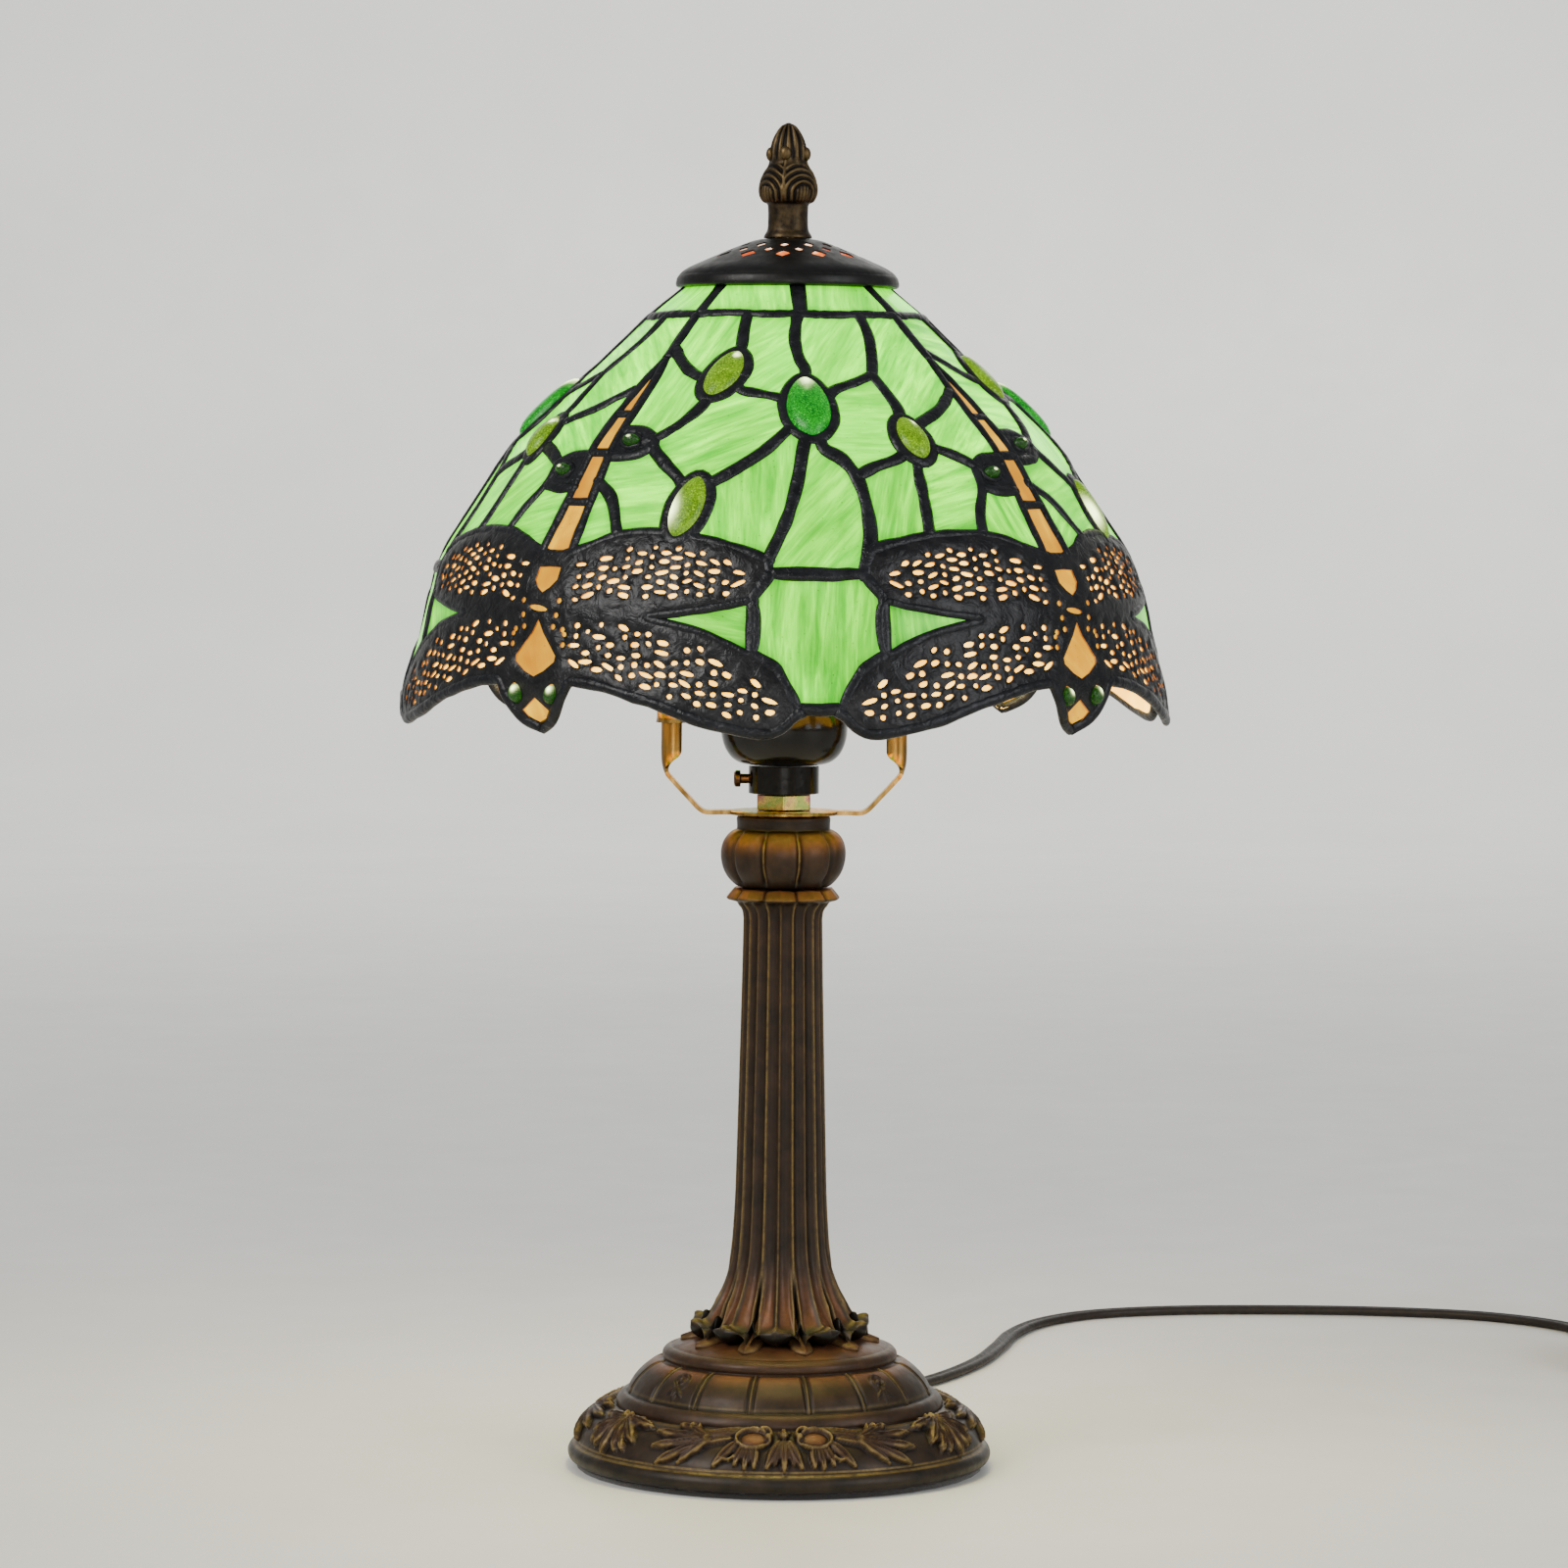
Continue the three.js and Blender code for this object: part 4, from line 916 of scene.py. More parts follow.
def dart(azimuth):
    """The small pointed leaf that lies on the dome between two petals."""
    verts, ridge = [], []
    stations = [(17.5, 2.6, 6.8), (20.0, 3.0, 3.9), (22.6, 3.3, 2.6), (25.0, 3.4, 2.0), (26.6, 2.8, 1.7),
                (27.8, 1.5, 1.5), (28.6, 0.25, 1.3)]
    section = ((-1, -0.15), (-0.8, 0.55), (-0.25, 0.72), (0, 1.0), (0.25, 0.72), (0.8, 0.55), (1, -0.15))
    side = math.cos(math.radians(azimuth)), math.sin(math.radians(azimuth))
    for r, half, tall in stations:
        x, y, ground = polar(r, azimuth, 37.1 - 0.21 * (r - 22))
        for across, lift in section:
            verts.append((x + across * half * side[0], y + across * half * side[1], ground + lift * tall))
            ridge.append(0.35 if abs(across) == 0.8 else 0.0)
    faces = ring_faces(len(stations), len(section)) + end_faces(len(stations), len(section))
    return verts, [f[::-1] for f in faces], ridge


def make_knop():
    count = 48 * PETALS
    lobes = smooth_line([(11.6, 166.7), (13.2, 167.0), (15.4, 168.8), (17.2, 171.6), (18.0, 174.8),
                         (18.0, 177.6), (17.2, 180.2), (15.8, 182.0), (14.4, 182.9), (13.6, 183.2)], 0.45)
    collar = smooth_line([(13.35, 183.5), (13.35, 185), (13.4, 186.6), (13.0, 187.1)], 0.4)
    outline = np.concatenate([lobes, collar])
    z = outline[:, 1][:, None]
    a = np.abs(petal_position(count, PETALS, -2))[None, :]
    in_lobes = step_up(166.7, 168.6, z) * (1 - step_up(182.2, 183.4, z))
    height = in_lobes * (-1.7 * a ** 5 - 0.5 * bell(1 - a, 0.13) + 0.55 * bell(1 - a, 0.045))
    gold = np.clip(0.8 * bell(1 - a, 0.05) * in_lobes + 0.25 * bell(z - 186.9, 0.3), 0, 1)
    # Copper on the upper halves of the lobes and on the collar's top: copper finish with painted warm light
    # from above.
    copper = np.clip(step_up(175, 182, z) * in_lobes * (0.72 - 0.25 * a ** 3) + 0.1 * in_lobes
                     + 0.5 * bell(z - 186.8, 0.3), 0, 1)
    # Painted shade under the collar, at the foot and along the valleys.
    hollow = np.clip(0.9 * bell(z - 183.3, 0.5) + 0.45 * (1 - step_up(167, 170, z))
                     + 0.5 * bell(1 - a - 0.12, 0.06) * in_lobes, 0, 1) * np.ones_like(a)
    verts, faces = with_bore(outline, count, height, 187.1, 166.7)
    knop = new_piece("melon_knop", verts, faces, BRONZE, "root")
    spare = np.zeros(2 * count)
    for name, values in (("gold", gold), ("copper", copper), ("hollow", hollow)):
        full = np.broadcast_to(values, (len(outline), count))
        paint(knop, name, np.concatenate([full.ravel(), spare]))
    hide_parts("knop")


make_column()
make_knop()


# ---------------------------------------------------------------- hardware that keeps its CAD shape
def keep(name, material, bevel):
    """A CAD node shown as it is, welded, smoothed up to an angle, with worn edges from a bevel."""
    sharp = math.radians(35)
    node = nodes[name]
    mesh = node.data
    mesh.materials.clear()
    mesh.materials.append(material)
    if mesh.has_custom_normals:
        mesh.attributes.remove(mesh.attributes["custom_normal"])
    mesh.polygons.foreach_set("use_smooth", [True] * len(mesh.polygons))
    weld = node.modifiers.new("weld", "WELD")
    weld.merge_threshold = 2e-6
    if bevel:
        edge = node.modifiers.new("bevel", "BEVEL")
        edge.width, edge.segments = bevel * MM, 2
        edge.limit_method, edge.angle_limit = "ANGLE", sharp
        edge.harden_normals = True
    else:
        mesh.set_sharp_from_angle(angle=sharp)


KEPT = {   # material and bevel in mm
    "felt_pad": (FELT, 0.4), "base_weight": (IRON, 0.6), "base_washer": (STEEL, 0.2),
    "base_nut": (STEEL, 0.3), "threaded_rod": (STEEL, 0), "lock_nut": (NUT, 0.45),
    "socket_cap": (BAKELITE, 0.4), "set_screw": (DARK_BRASS, 0.25), "socket_insulator": (PORCELAIN, 0),
    "screw_shell": (BRASS, 0), "centre_contact": (BRASS, 0.1), "bulb_cap": (BRASS, 0),
    "bulb_glass": (BULB, 0), "harp_wire": (BRASS, 0), "harp_stud": (BRASS, 0.2), "ferrule_left": (BRASS, 0),
    "ferrule_right": (BRASS, 0), "shade_seat": (BRASS, 0.2), "strain_relief": (VINYL, 0),
    "inner_lead": (VINYL, 0), "switch_lower": (SWITCH_BLACK, 1.0), "switch_upper": (SWITCH_BLACK, 0.8),
    "switch_rocker": (SWITCH_BLACK, 0.4), "cord_tie": (TIE, 0.2), "plug_body": (SWITCH_BLACK, 1.2),
    "plug_blade_wide": (BRASS, 0.25), "plug_blade_narrow": (BRASS, 0.25),
}
for node_name, (look_of, bevel_mm) in KEPT.items():
    keep(node_name, look_of, bevel_mm)
# The bulb's light shines from inside the envelope.
nodes["bulb_glass"].visible_shadow = False


def make_socket():
    """The lampholder's round shell: glossy, with a rolled seam above the cap."""
    outline = smooth_line([(9.2, 201.75), (11.2, 201.9), (13.2, 202.5), (15.2, 203.9), (16.8, 206.2),
                           (17.8, 209.2), (18.15, 212.2), (17.9, 215.2), (17.3, 218.2), (16.95, 221),
                           (16.9, 228), (16.9, 238)], 0.7)
    inside = [(15.5, 238), (15.5, 220), (16.2, 213), (15.9, 210), (14.2, 207.2), (11.6, 205), (9.2, 203.8)]
    verts, faces = revolve(np.concatenate([outline, inside]), 96, wrap=True)
    shell = new_piece("socket_globe", verts, faces, BAKELITE, "root")
    sharpen(shell)
    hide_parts("socket_shell")


make_socket()


def make_saddle():
    """The strip that carries the harp: a disc, two arms, and at each end a tube folded from the strip."""
    bits = Bits()
    bits.add(*revolve([(BORE, 187.45), (15.4, 187.45), (15.7, 187.7), (15.7, 188.35), (15.4, 188.6),
                       (BORE, 188.6)], 96, wrap=True))
    arm = smooth_line([(12.0, 188.05), (18.0, 188.05), (22.4, 188.1), (24.0, 188.9), (27.6, 192.6),
                       (31.6, 196.9), (33.5, 199.2), (34.3, 201.6), (34.55, 204.5), (34.55, 210),
                       (34.55, 216)], 0.5)
    along = np.gradient(arm, axis=0)
    along /= np.linalg.norm(along, axis=1)[:, None]
    fold = step_up(198.8, 205.4, arm[:, 1])
    strip, flat_width, tube_width = 1.2, 7.0, 16.2
    for side in (1, -1):
        line = np.column_stack([side * arm[:, 0], np.zeros(len(arm)), arm[:, 1]])
        ups = np.column_stack([side * along[:, 1], np.zeros(len(arm)), -along[:, 0]])
        sections = []
        for share, height in zip(fold, arm[:, 1]):
            half_angle = math.radians(0.5 + 136 * share)
            width = flat_width * (1 - 0.22 * float(bell(height - 200.5, 2.4)))
            width += (tube_width - flat_width) * share
            radius = width / 2 / half_angle
            spread = np.linspace(-half_angle, half_angle, 15)
            within = radius - strip
            outer = [(radius * math.sin(t), radius * (math.cos(t) - 1) + strip / 2) for t in spread]
            inner = [(within * math.sin(t), within * math.cos(t) - radius + strip / 2) for t in spread[::-1]]
            sections.append(outer + inner)
        verts, faces = sweep(line, sections, ups)
        bits.add(verts, [f[::-1] for f in faces])
    saddle = bits.piece("brass_saddle", BRASS, "root")
    sharpen(saddle, 38)
    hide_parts("harp_saddle")


make_saddle()


# ---------------------------------------------------------------- finial
def make_finial():
    outline = smooth_line([(6.9, 351.7), (6.7, 352.5), (6.0, 353.7), (5.75, 355), (5.75, 360.4), (5.9, 361.2),
                           (6.9, 362.0), (7.7, 363.3), (8.1, 365.4), (7.7, 367.8), (6.8, 370), (5.7, 371.6),
                           (5.1, 373.2), (5.0, 374.8), (4.95, 376.6), (4.55, 378.6), (3.75, 380.6),
                           (2.65, 382.4), (1.35, 383.8), (0.55, 384.3), (0.12, 384.4)], 0.22)
    count = 240
    az = (np.arange(count) * 360 / count)[None, :]
    z = outline[:, 1][:, None]
    quarter = ((az + 10 + 45) % 90) - 45
    x = quarter * math.pi / 180 * 7.0
    # Upper egg: twelve ribs. Lower bulb: veins that curl round a small ball between two stalks.
    egg = step_up(372.8, 375, z) * (1 - step_up(383.2, 384.2, z))
    ribs = np.cos(np.radians(az * 12))
    bulb = step_up(361.4, 362.4, z) * (1 - step_up(371.6, 373.2, z))
    side = 5.5 - np.abs(x)
    above = np.clip(z - 364.0, 0, None)
    away = np.hypot(side, above * 0.95)
    veins = np.cos(2 * math.pi * away / 1.7)
    boss_size = 2.3
    boss_ribs = np.cos(side * 2 * math.pi / 0.95)
    stalk = bell(x, 0.45) * step_up(362, 364, z) * (1 - step_up(376, 377, z))
    on_boss = 0.45 * boss_ribs + 0.9 * np.clip(1 - away / boss_size, 0, 1)
    height = 0.3 * egg * ribs + 0.34 * bulb * np.where(away < boss_size, on_boss, veins)
    height = height * (1 - stalk) + 0.5 * stalk
    height = np.clip(height, -0.6, 0.55)
    inside = np.array([(0.15, 361.3), (3.4, 361.3), (3.4, 351.7)])
    pad = np.zeros((len(inside), count))
    verts, faces = revolve(np.concatenate([outline, inside]), count, np.concatenate([height, pad]), wrap=True)
    bits = Bits("worn")
    bits.add(verts, faces, worn=np.concatenate([(height * 2.2).ravel(), pad.ravel()]))
    for k in range(4):
        centre = polar(5.1, -10 + 90 * k, 375.5)
        out = np.array(polar(1, -10 + 90 * k, 0))
        verts_k, faces_k = ball(centre, (1.75, 2.05, 1.35), [(out[1], -out[0], 0), (0, 0, 1), out], 10, 18)
        bits.add(verts_k, faces_k, worn=0.7)
    look = Look("finial_brass", Metallic=0.85)
    grit = look.noise(1100, 4, 0.7)
    blotch = look.noise(380, 4, 0.6)
    raised = look.math("ADD", look.math("MULTIPLY", look.attribute("worn"), 0.55),
                       look.math("MULTIPLY", blotch, 0.9))
    look.drive("Base Color", look.mix(look.ramp(raised, (0.28, 0), (0.8, 1)), srgb(22, 18, 14),
                                      look.mix(grit, srgb(58, 46, 28), srgb(112, 92, 58))))
    look.drive("Roughness", look.ramp(grit, (0.3, 0.34), (0.7, 0.55)))
    look.drive("Normal", look.bump(grit, 0.00012, 0.5))
    finial = bits.piece("finial_bud", look.material, "finial")
    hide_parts("finial")


make_finial()


# ---------------------------------------------------------------- the shade's surface
SHADE = np.array([(110.6, 213), (110, 219.5), (109.2, 225), (107, 233), (105.1, 241), (102.6, 252),
                  (98, 263.5), (91.9, 273), (84.4, 284.5), (78.6, 293), (66.4, 305), (53.8, 316.5),
                  (47.4, 322.6), (39.8, 330), (31.4, 337), (29, 339)])
SHADE_LINE = smooth_line(SHADE, 0.6)
SHADE_SIDE = line_normals(SHADE_LINE)
SPREAD = 106 * math.pi / 180          # mm of pattern per degree, the same at every height
SECTORS = [TURN + 90 * k for k in range(4)]
SIDES = ("front", "right", "back", "left")
HALF_SECTOR = 45                      # degrees from a sector's middle to the dragonflies beside it


def at_height(z, values):
    """A value of the shade's line, such as its radius, at height z."""
    row = np.interp(np.asarray(z, float), SHADE_LINE[:, 1], np.arange(len(SHADE_LINE)))
    return np.interp(row, np.arange(len(SHADE_LINE)), values)


def on_shade(angle, z, depth):
    """Points on the shade: angle in degrees round it, height on the outside, depth inwards."""
    r = at_height(z, SHADE_LINE[:, 0]) - depth * at_height(z, SHADE_SIDE[:, 0])
    h = at_height(z, SHADE_LINE[:, 1]) - depth * at_height(z, SHADE_SIDE[:, 1])
    a = np.radians(np.asarray(angle, float))
    return np.stack([r * np.sin(a), -r * np.cos(a), h], axis=-1)


def outward(angle, z):
    """The shade's outward normals."""
    nr, nz = at_height(z, SHADE_SIDE[:, 0]), at_height(z, SHADE_SIDE[:, 1])
    a = np.radians(np.asarray(angle, float))
    return np.stack([nr * np.sin(a), -nr * np.cos(a), nz], axis=-1)


def ring_points(centre, half_along, half_across, lean, count=20):
    """A closed oval on the shade. Sizes are mm on the surface, lean is degrees from upright, to the right."""
    a0, z0 = centre
    r = float(at_height(z0, SHADE_LINE[:, 0]))
    slope = outward(0, z0)
    rise = math.hypot(slope[0], slope[1])
    points = []
    for t in np.linspace(0, 2 * math.pi, count, endpoint=False):
        u = half_across * math.copysign(abs(math.cos(t)) ** 1.18, math.cos(t))
        v = half_along * math.sin(t)
        c, s = math.cos(math.radians(lean)), math.sin(math.radians(lean))
        x, y = u * c + v * s, -u * s + v * c
        points.append((a0 + math.degrees(x / r), z0 + y * max(rise, 0.45)))
    return points


# Pattern of one sector, 90 degrees wide, as (degrees from its middle, height of the shade's outside).
JEWELS = {   # centre, half length, half width, lean, kind
    "b": ((0.0, 303.5), 12.5, 6.6, -3, "emerald"),
    "a": ((-22.3, 312.6), 10.2, 5.3, 13, "olive"),
    "c": ((21.9, 295.0), 8.5, 4.9, -6, "olive"),
    "d": ((-22.3, 275.9), 10.7, 5.2, 10, "olive"),
    "s1": ((-38.2, 293.8), 2.2, 3.2, 0, "moss"),
    "s2": ((37.6, 285.7), 2.2, 3.2, 0, "moss"),
}
TAIL = [(262, 3.1), (276, 2.75), (290, 2.55), (302, 2.35), (313, 1.4), (317, 0.0)]   # height, half width
TAIL_CUTS = (301.6, 290.8, 277.2)
TAIL_TOP = 317.4
EYE, EYE_SIZE, EYE_LEAN = (3.5, 225.2), (2.9, 2.1), 12


def lookup(x, pairs):
    return float(np.interp(x, *zip(*pairs)))


def tail_half(z):
    return lookup(z, TAIL)


LINES = {
    "ring": [(-45, 330), (-30, 330.3), (-15, 329.9), (0, 330), (15, 329.8), (30, 330.1), (45, 330)],
    "axis_left": [(-45, 330), (-44.8, 324), (-45, 317.4)],
    "axis_right": [(45, 330), (44.8, 324), (45, 317.4)],
    "p1_p2": [(-21.4, 330), (-20.8, 325), (-20.0, 320.6)],
    "p2_p3": [(-0.9, 330), (-2.4, 323), (-1.2, 317), (0.2, 314.2)],
    "p3_p4": [(25.4, 330), (25.2, 325), (22.6, 319), (19.3, 312.9)],
    "p1_low": [(-44.3, 320.2), (-38.5, 316.6), (-33.3, 313.6), (-28.0, 311.6)],
    "a_b": [(-17.0, 308.6), (-12.0, 307.4), (-7.2, 306.4)],
    "a_s1": [(-24.6, 305.6), (-28.0, 300), (-30.6, 297), (-33.2, 294.8)],
    "s1_p14": [(-33.2, 294.8), (-32.8, 292.6), (-29.2, 288.1), (-25.3, 283.7)],
    "b_right": [(6.9, 308.4), (13.5, 310.8), (19.3, 312.9)],
    "n7_c": [(19.3, 312.9), (21.0, 308.2), (22.0, 303.5)],
    "p4_low": [(26.1, 299.8), (34.2, 303.8), (42.2, 308.8)],
    "p9_p10": [(8.2, 284.6), (12, 287.2), (17.2, 289.6)],
    "p8_right": [(2.4, 292.6), (5.8, 289.4), (8.2, 284.6), (9.2, 277.5), (9.1, 268.5), (8.2, 263.0),
                 (7.3, 258.4)],
    "p7_p8": [(-1.6, 292.7), (-2.8, 284), (-4.7, 273.8), (-7.8, 262.0)],
    "p6_p7": [(-5.4, 296.6), (-9.4, 291.6), (-13.4, 287.6), (-18.6, 283.0)],
    "p14_p15": [(-42.8, 283.2), (-38, 278.4), (-34.0, 268.4)],
    "c_low": [(21.0, 287.4), (20.4, 278.5), (19.6, 268.9)],
    "c_s2": [(26.2, 292.8), (30.2, 290.8), (34.4, 287.8)],
    "s2_p12": [(34.4, 287.8), (37.6, 289.8), (42.4, 290.3)],
    "s2_p13": [(34.4, 287.8), (34.0, 282.2), (31.2, 275), (30.0, 269.2)],
    "p13_top": [(34.0, 282.2), (38.0, 281.0), (42.4, 281.2)],
    "s1_tail": [(-33.2, 294.8), (-37.0, 297.0), (-42.4, 297.2)],
    "s1_low": [(-32.8, 292.6), (-36.0, 290.2), (-42.5, 289.6)],
    "tail_l": [(-45, 317.4), (-43.4, 312), (-42.6, 302), (-42.4, 288), (-42.1, 274), (-41.8, 262.9)],
    "tail_r": [(45, 317.4), (43.4, 312), (42.6, 302), (42.4, 288), (42.1, 274), (41.8, 262.9)],
    "seam": [(-45, 262.6), (-41.8, 262.9), (-38, 265.8), (-34.0, 268.4), (-27.4, 269.3), (-20.5, 268.1),
             (-14, 265.7), (-7.8, 262.0)],
    "seam_r": [(45, 262.6), (41.8, 262.9), (38, 265.6), (34.0, 268.0), (30.0, 269.2), (26, 269.4),
               (19.6, 268.9), (14, 267.2), (9.1, 265.0), (8.2, 263.0)],
    "petal_low": [(-7.8, 262.0), (-7.4, 258.8), (0, 257.9), (7.3, 258.4)],
}
CENTRE = [(-7.3, 258.6), (-9.9, 252.2), (-10.0, 244), (-9.9, 236.8), (-6.3, 233.0), (-4.6, 227.6),
          (-3.3, 222.4), (0, 222.0), (3.3, 222.4), (4.6, 227.6), (6.6, 233.0), (10.0, 236.8), (10.1, 244),
          (10.0, 252.2), (7.2, 258.4)]
HEM = [(0, 215.5), (2.6, 217.6), (4.2, 220.8), (5.6, 224.8), (6.9, 228.3), (9, 228.2), (12.5, 227.3),
       (16, 225.6), (22, 222.3), (27, 219.0), (32, 216.6), (36.6, 215.2), (38.4, 215.5), (40, 217.2),
       (41.2, 219.6), (42.6, 221.4)]


# ---------------------------------------------------------------- flat patterns, as sheets on the shade
ARC = distances(SHADE_LINE)


def unroll(points):
    """(degrees, height) to flat mm: sideways by angle, up along the shade's line."""
    p = np.asarray(points, float).reshape(-1, 2)
    return np.stack([p[:, 0] * SPREAD, np.interp(p[:, 1], SHADE_LINE[:, 1], ARC)], axis=1)


def roll_up(flat):
    """Flat mm back to (degrees, height)."""
    p = np.asarray(flat, float).reshape(-1, 2)
    return np.stack([p[:, 0] / SPREAD, np.interp(p[:, 1], ARC, SHADE_LINE[:, 1])], axis=1)


def reach_out(line, extra):
    """The same flat line, a little longer at both ends, so that it surely meets its neighbours."""
    first = line[0] + (line[0] - line[1]) / np.linalg.norm(line[0] - line[1]) * extra
    last = line[-1] + (line[-1] - line[-2]) / np.linalg.norm(line[-1] - line[-2]) * extra
    return np.concatenate([[first], line, [last]])


def ring_sides(ring):
    """The segments of a closed ring."""
    return np.stack([ring, np.roll(ring, -1, axis=0)], axis=1)


def anticlockwise(ring):
    ring = np.asarray(ring, float)
    x, y = ring[:, 0], ring[:, 1]
    area = np.sum(x * np.roll(y, -1) - y * np.roll(x, -1))
    return ring if area > 0 else ring[::-1]


def segment_distance(points, segments):
    """Distance of each flat point to the nearest segment."""
    a, d = segments[:, 0], segments[:, 1] - segments[:, 0]
    size = np.einsum("sk,sk->s", d, d) + 1e-12
    best = np.full(len(points), 1e9)
    for start in range(0, len(a), 400):
        part = slice(start, start + 400)
        t = np.einsum("psk,sk->ps", points[:, None] - a[None, part], d[part]) / size[part]
        near = a[None, part] + np.clip(t, 0, 1)[..., None] * d[None, part]
        best = np.minimum(best, np.linalg.norm(points[:, None] - near, axis=2).min(axis=1))
    return best


def cut_sheet(outline, holes=(), lines=(), grid=2.6, margin=0.9):
    """Triangles of a flat shape. Returns points, triangles, the shapes each lies in (0 is the outline),
    the set of edges that lie on an outline, a hole or a line, and those as segments. grid is the spacing of
    the points that fill it, and margin how far they stay from an edge."""
    points, edges, shapes, segments = [], [], [], []
    for ring in (outline, *holes):
        ring = anticlockwise(ring)
        start = len(points)
        points.extend(ring)
        shapes.append(list(range(start, len(points))))
        segments.append(ring_sides(ring))
    for line in lines:
        start = len(points)
        points.extend(line)
        edges.extend((i, i + 1) for i in range(start, len(points) - 1))
        segments.append(np.stack([line[:-1], line[1:]], axis=1))
    segments = np.concatenate(segments)
    low, high = np.min(outline, axis=0), np.max(outline, axis=0)
    fill = np.array([(x + (grid / 2 if row % 2 else 0), y)
                     for row, y in enumerate(np.arange(low[1], high[1], grid * 0.87))
                     for x in np.arange(low[0], high[0], grid)])
    fill = fill[segment_distance(fill, segments) > margin]
    points.extend(fill)
    cut = delaunay_2d_cdt([Vector(p) for p in points], edges, shapes, 0, 1e-4, True)
    flat = np.array([v[:] for v in cut[0]])
    walls = {tuple(sorted(edge)) for edge, source in zip(cut[1], cut[4]) if source}
    return flat, cut[2], [set(s) for s in cut[5]], walls, segments


def groups(faces, walls):
    """Lists of triangles that touch without crossing a wall."""
    parent = list(range(len(faces)))

    def root(i):
        while parent[i] != i:
            parent[i] = parent[parent[i]]
            i = parent[i]
        return i

    owner = {}
    for index, face in enumerate(faces):
        for i in range(3):
            edge = tuple(sorted((face[i], face[(i + 1) % 3])))
            if edge in walls:
                continue
            if edge in owner:
                parent[root(index)] = root(owner[edge])
            else:
                owner[edge] = index
    found = {}
    for index in range(len(faces)):
        found.setdefault(root(index), []).append(faces[index])
    return list(found.values())


def compact(flat, faces):
    used = sorted({i for f in faces for i in f})
    place = {old: new for new, old in enumerate(used)}
    return flat[used], [tuple(place[i] for i in f) for f in faces]


def sheet(outline, holes=(), grid=2.6, margin=0.9, wanted=frozenset({0})):
    """A flat shape's points, triangles in just the wanted shapes, and each point's distance from an edge."""
    flat, faces, shapes, _, segments = cut_sheet(outline, holes, (), grid, margin)
    flat, faces = compact(flat, [f for f, inside in zip(faces, shapes) if inside == wanted])
    return flat, faces, segment_distance(flat, segments)


def slab(front, back, faces):
    """A closed sheet between two layers of points."""
    size = len(front)
    ways = {(f[i], f[(i + 1) % len(f)]) for f in faces for i in range(len(f))}
    rim = [(a, b) for a, b in ways if (b, a) not in ways]
    made = [tuple(f) for f in faces] + [tuple(i + size for i in f[::-1]) for f in faces]
    made += [(a + size, b + size, b, a) for a, b in sorted(rim)]
    return list(np.concatenate([front, back])), made


def inside_ring(points, ring):
    """Even-odd test of flat points against a closed ring."""
    ring = np.asarray(ring, float)
    after = np.roll(ring, -1, axis=0)
    x, y = points[:, :1], points[:, 1:]
    crosses = (ring[:, 1] > y) != (after[:, 1] > y)
    with np.errstate(divide="ignore", invalid="ignore"):
        at = (after[:, 0] - ring[:, 0]) * (y - ring[:, 1]) / (after[:, 1] - ring[:, 1]) + ring[:, 0]
    return (crosses & (x < at)).sum(axis=1) % 2 == 1


class Glass(Bits):
    """Panes of sheet glass, each cut flat, with its own tint and its own direction of streaks.

    distance is each flat point's distance from an edge. flatten is how much of the shade's bulge is taken out
    of the pane's middle, hang gives extra depth at a place, and power is how brightly the pane is lit."""

    def __init__(self):
        super().__init__("tint", "edge", "power")
        self.flow = []

    def pane(self, flat, faces, azimuth, distance, dice, lean=None, tint=None, depth=2.0, thick=1.9,
             flatten=0.8, hang=None, power=None):
        flat, faces_local = compact(flat, faces)
        place = roll_up(flat)
        if hang is not None:
            depth = depth + hang(place[:, 0], place[:, 1])
        middle = on_shade(place[:, 0] + azimuth, place[:, 1], depth)
        centre = middle.mean(axis=0)
        _, _, axes = np.linalg.svd(middle - centre, full_matrices=False)
        normal = axes[2]
        if np.dot(normal, (centre[0], centre[1], 60)) < 0:
            normal = -normal
        near = distance[sorted({i for f in faces for i in f})]
        out = (middle - centre) @ normal
        rest = out[near < 0.8].mean() if (near < 0.8).any() else 0.0
        bulge = np.clip(out - rest, 0, None)
        level = middle - np.outer(flatten * step_up(0.5, 5, near) * bulge, normal)
        front, back = level + normal * thick / 2, level - normal * thick / 2
        verts, made = slab(front, back, faces_local)
        across = np.cross(normal, (0, 0, 1.0))
        across /= -np.linalg.norm(across)
        up = np.cross(across, normal)
        up /= np.linalg.norm(up) * math.copysign(1, up[2])
        turn = math.radians(dice.uniform(0, 180) if lean is None else lean)
        x, y = (verts - centre) @ across, (verts - centre) @ up
        shift = (dice.uniform(0, 300), dice.uniform(0, 300), dice.uniform(0, 300))
        self.flow.append((x * math.cos(turn) + y * math.sin(turn) + shift[0],
                          -x * math.sin(turn) + y * math.cos(turn) + shift[1],
                          np.full(len(x), shift[2])))
        tone = dice.random() if tint is None else tint
        # Distance from the solder, for its painted shadow on the pane.
        edge = np.clip(near / 4.5, 0, 1)
        # Panes near the bulb are the brightest.
        power = power or 0.78 + 0.5 * float(step_up(225, 325, centre[2]))
        self.add(verts, made, tint=tone, edge=np.concatenate([edge, edge]), power=power)

    def piece(self, name, material, body, smooth=True):
        made = super().piece(name, material, body, smooth)
        flow = np.concatenate([np.stack(f, axis=1) for f in self.flow])
        layer = made.data.attributes.new("flow", "FLOAT_VECTOR", "POINT")
        layer.data.foreach_set("vector", flow.astype(np.float32).ravel())
        sharpen(made, 30)
        return made


def seam_height(angle):
    """Height of the lower edge of the green field at an angle from the sector's middle."""
    return lookup(angle, LINES["seam"] + LINES["petal_low"][1:] + LINES["seam_r"][::-1])


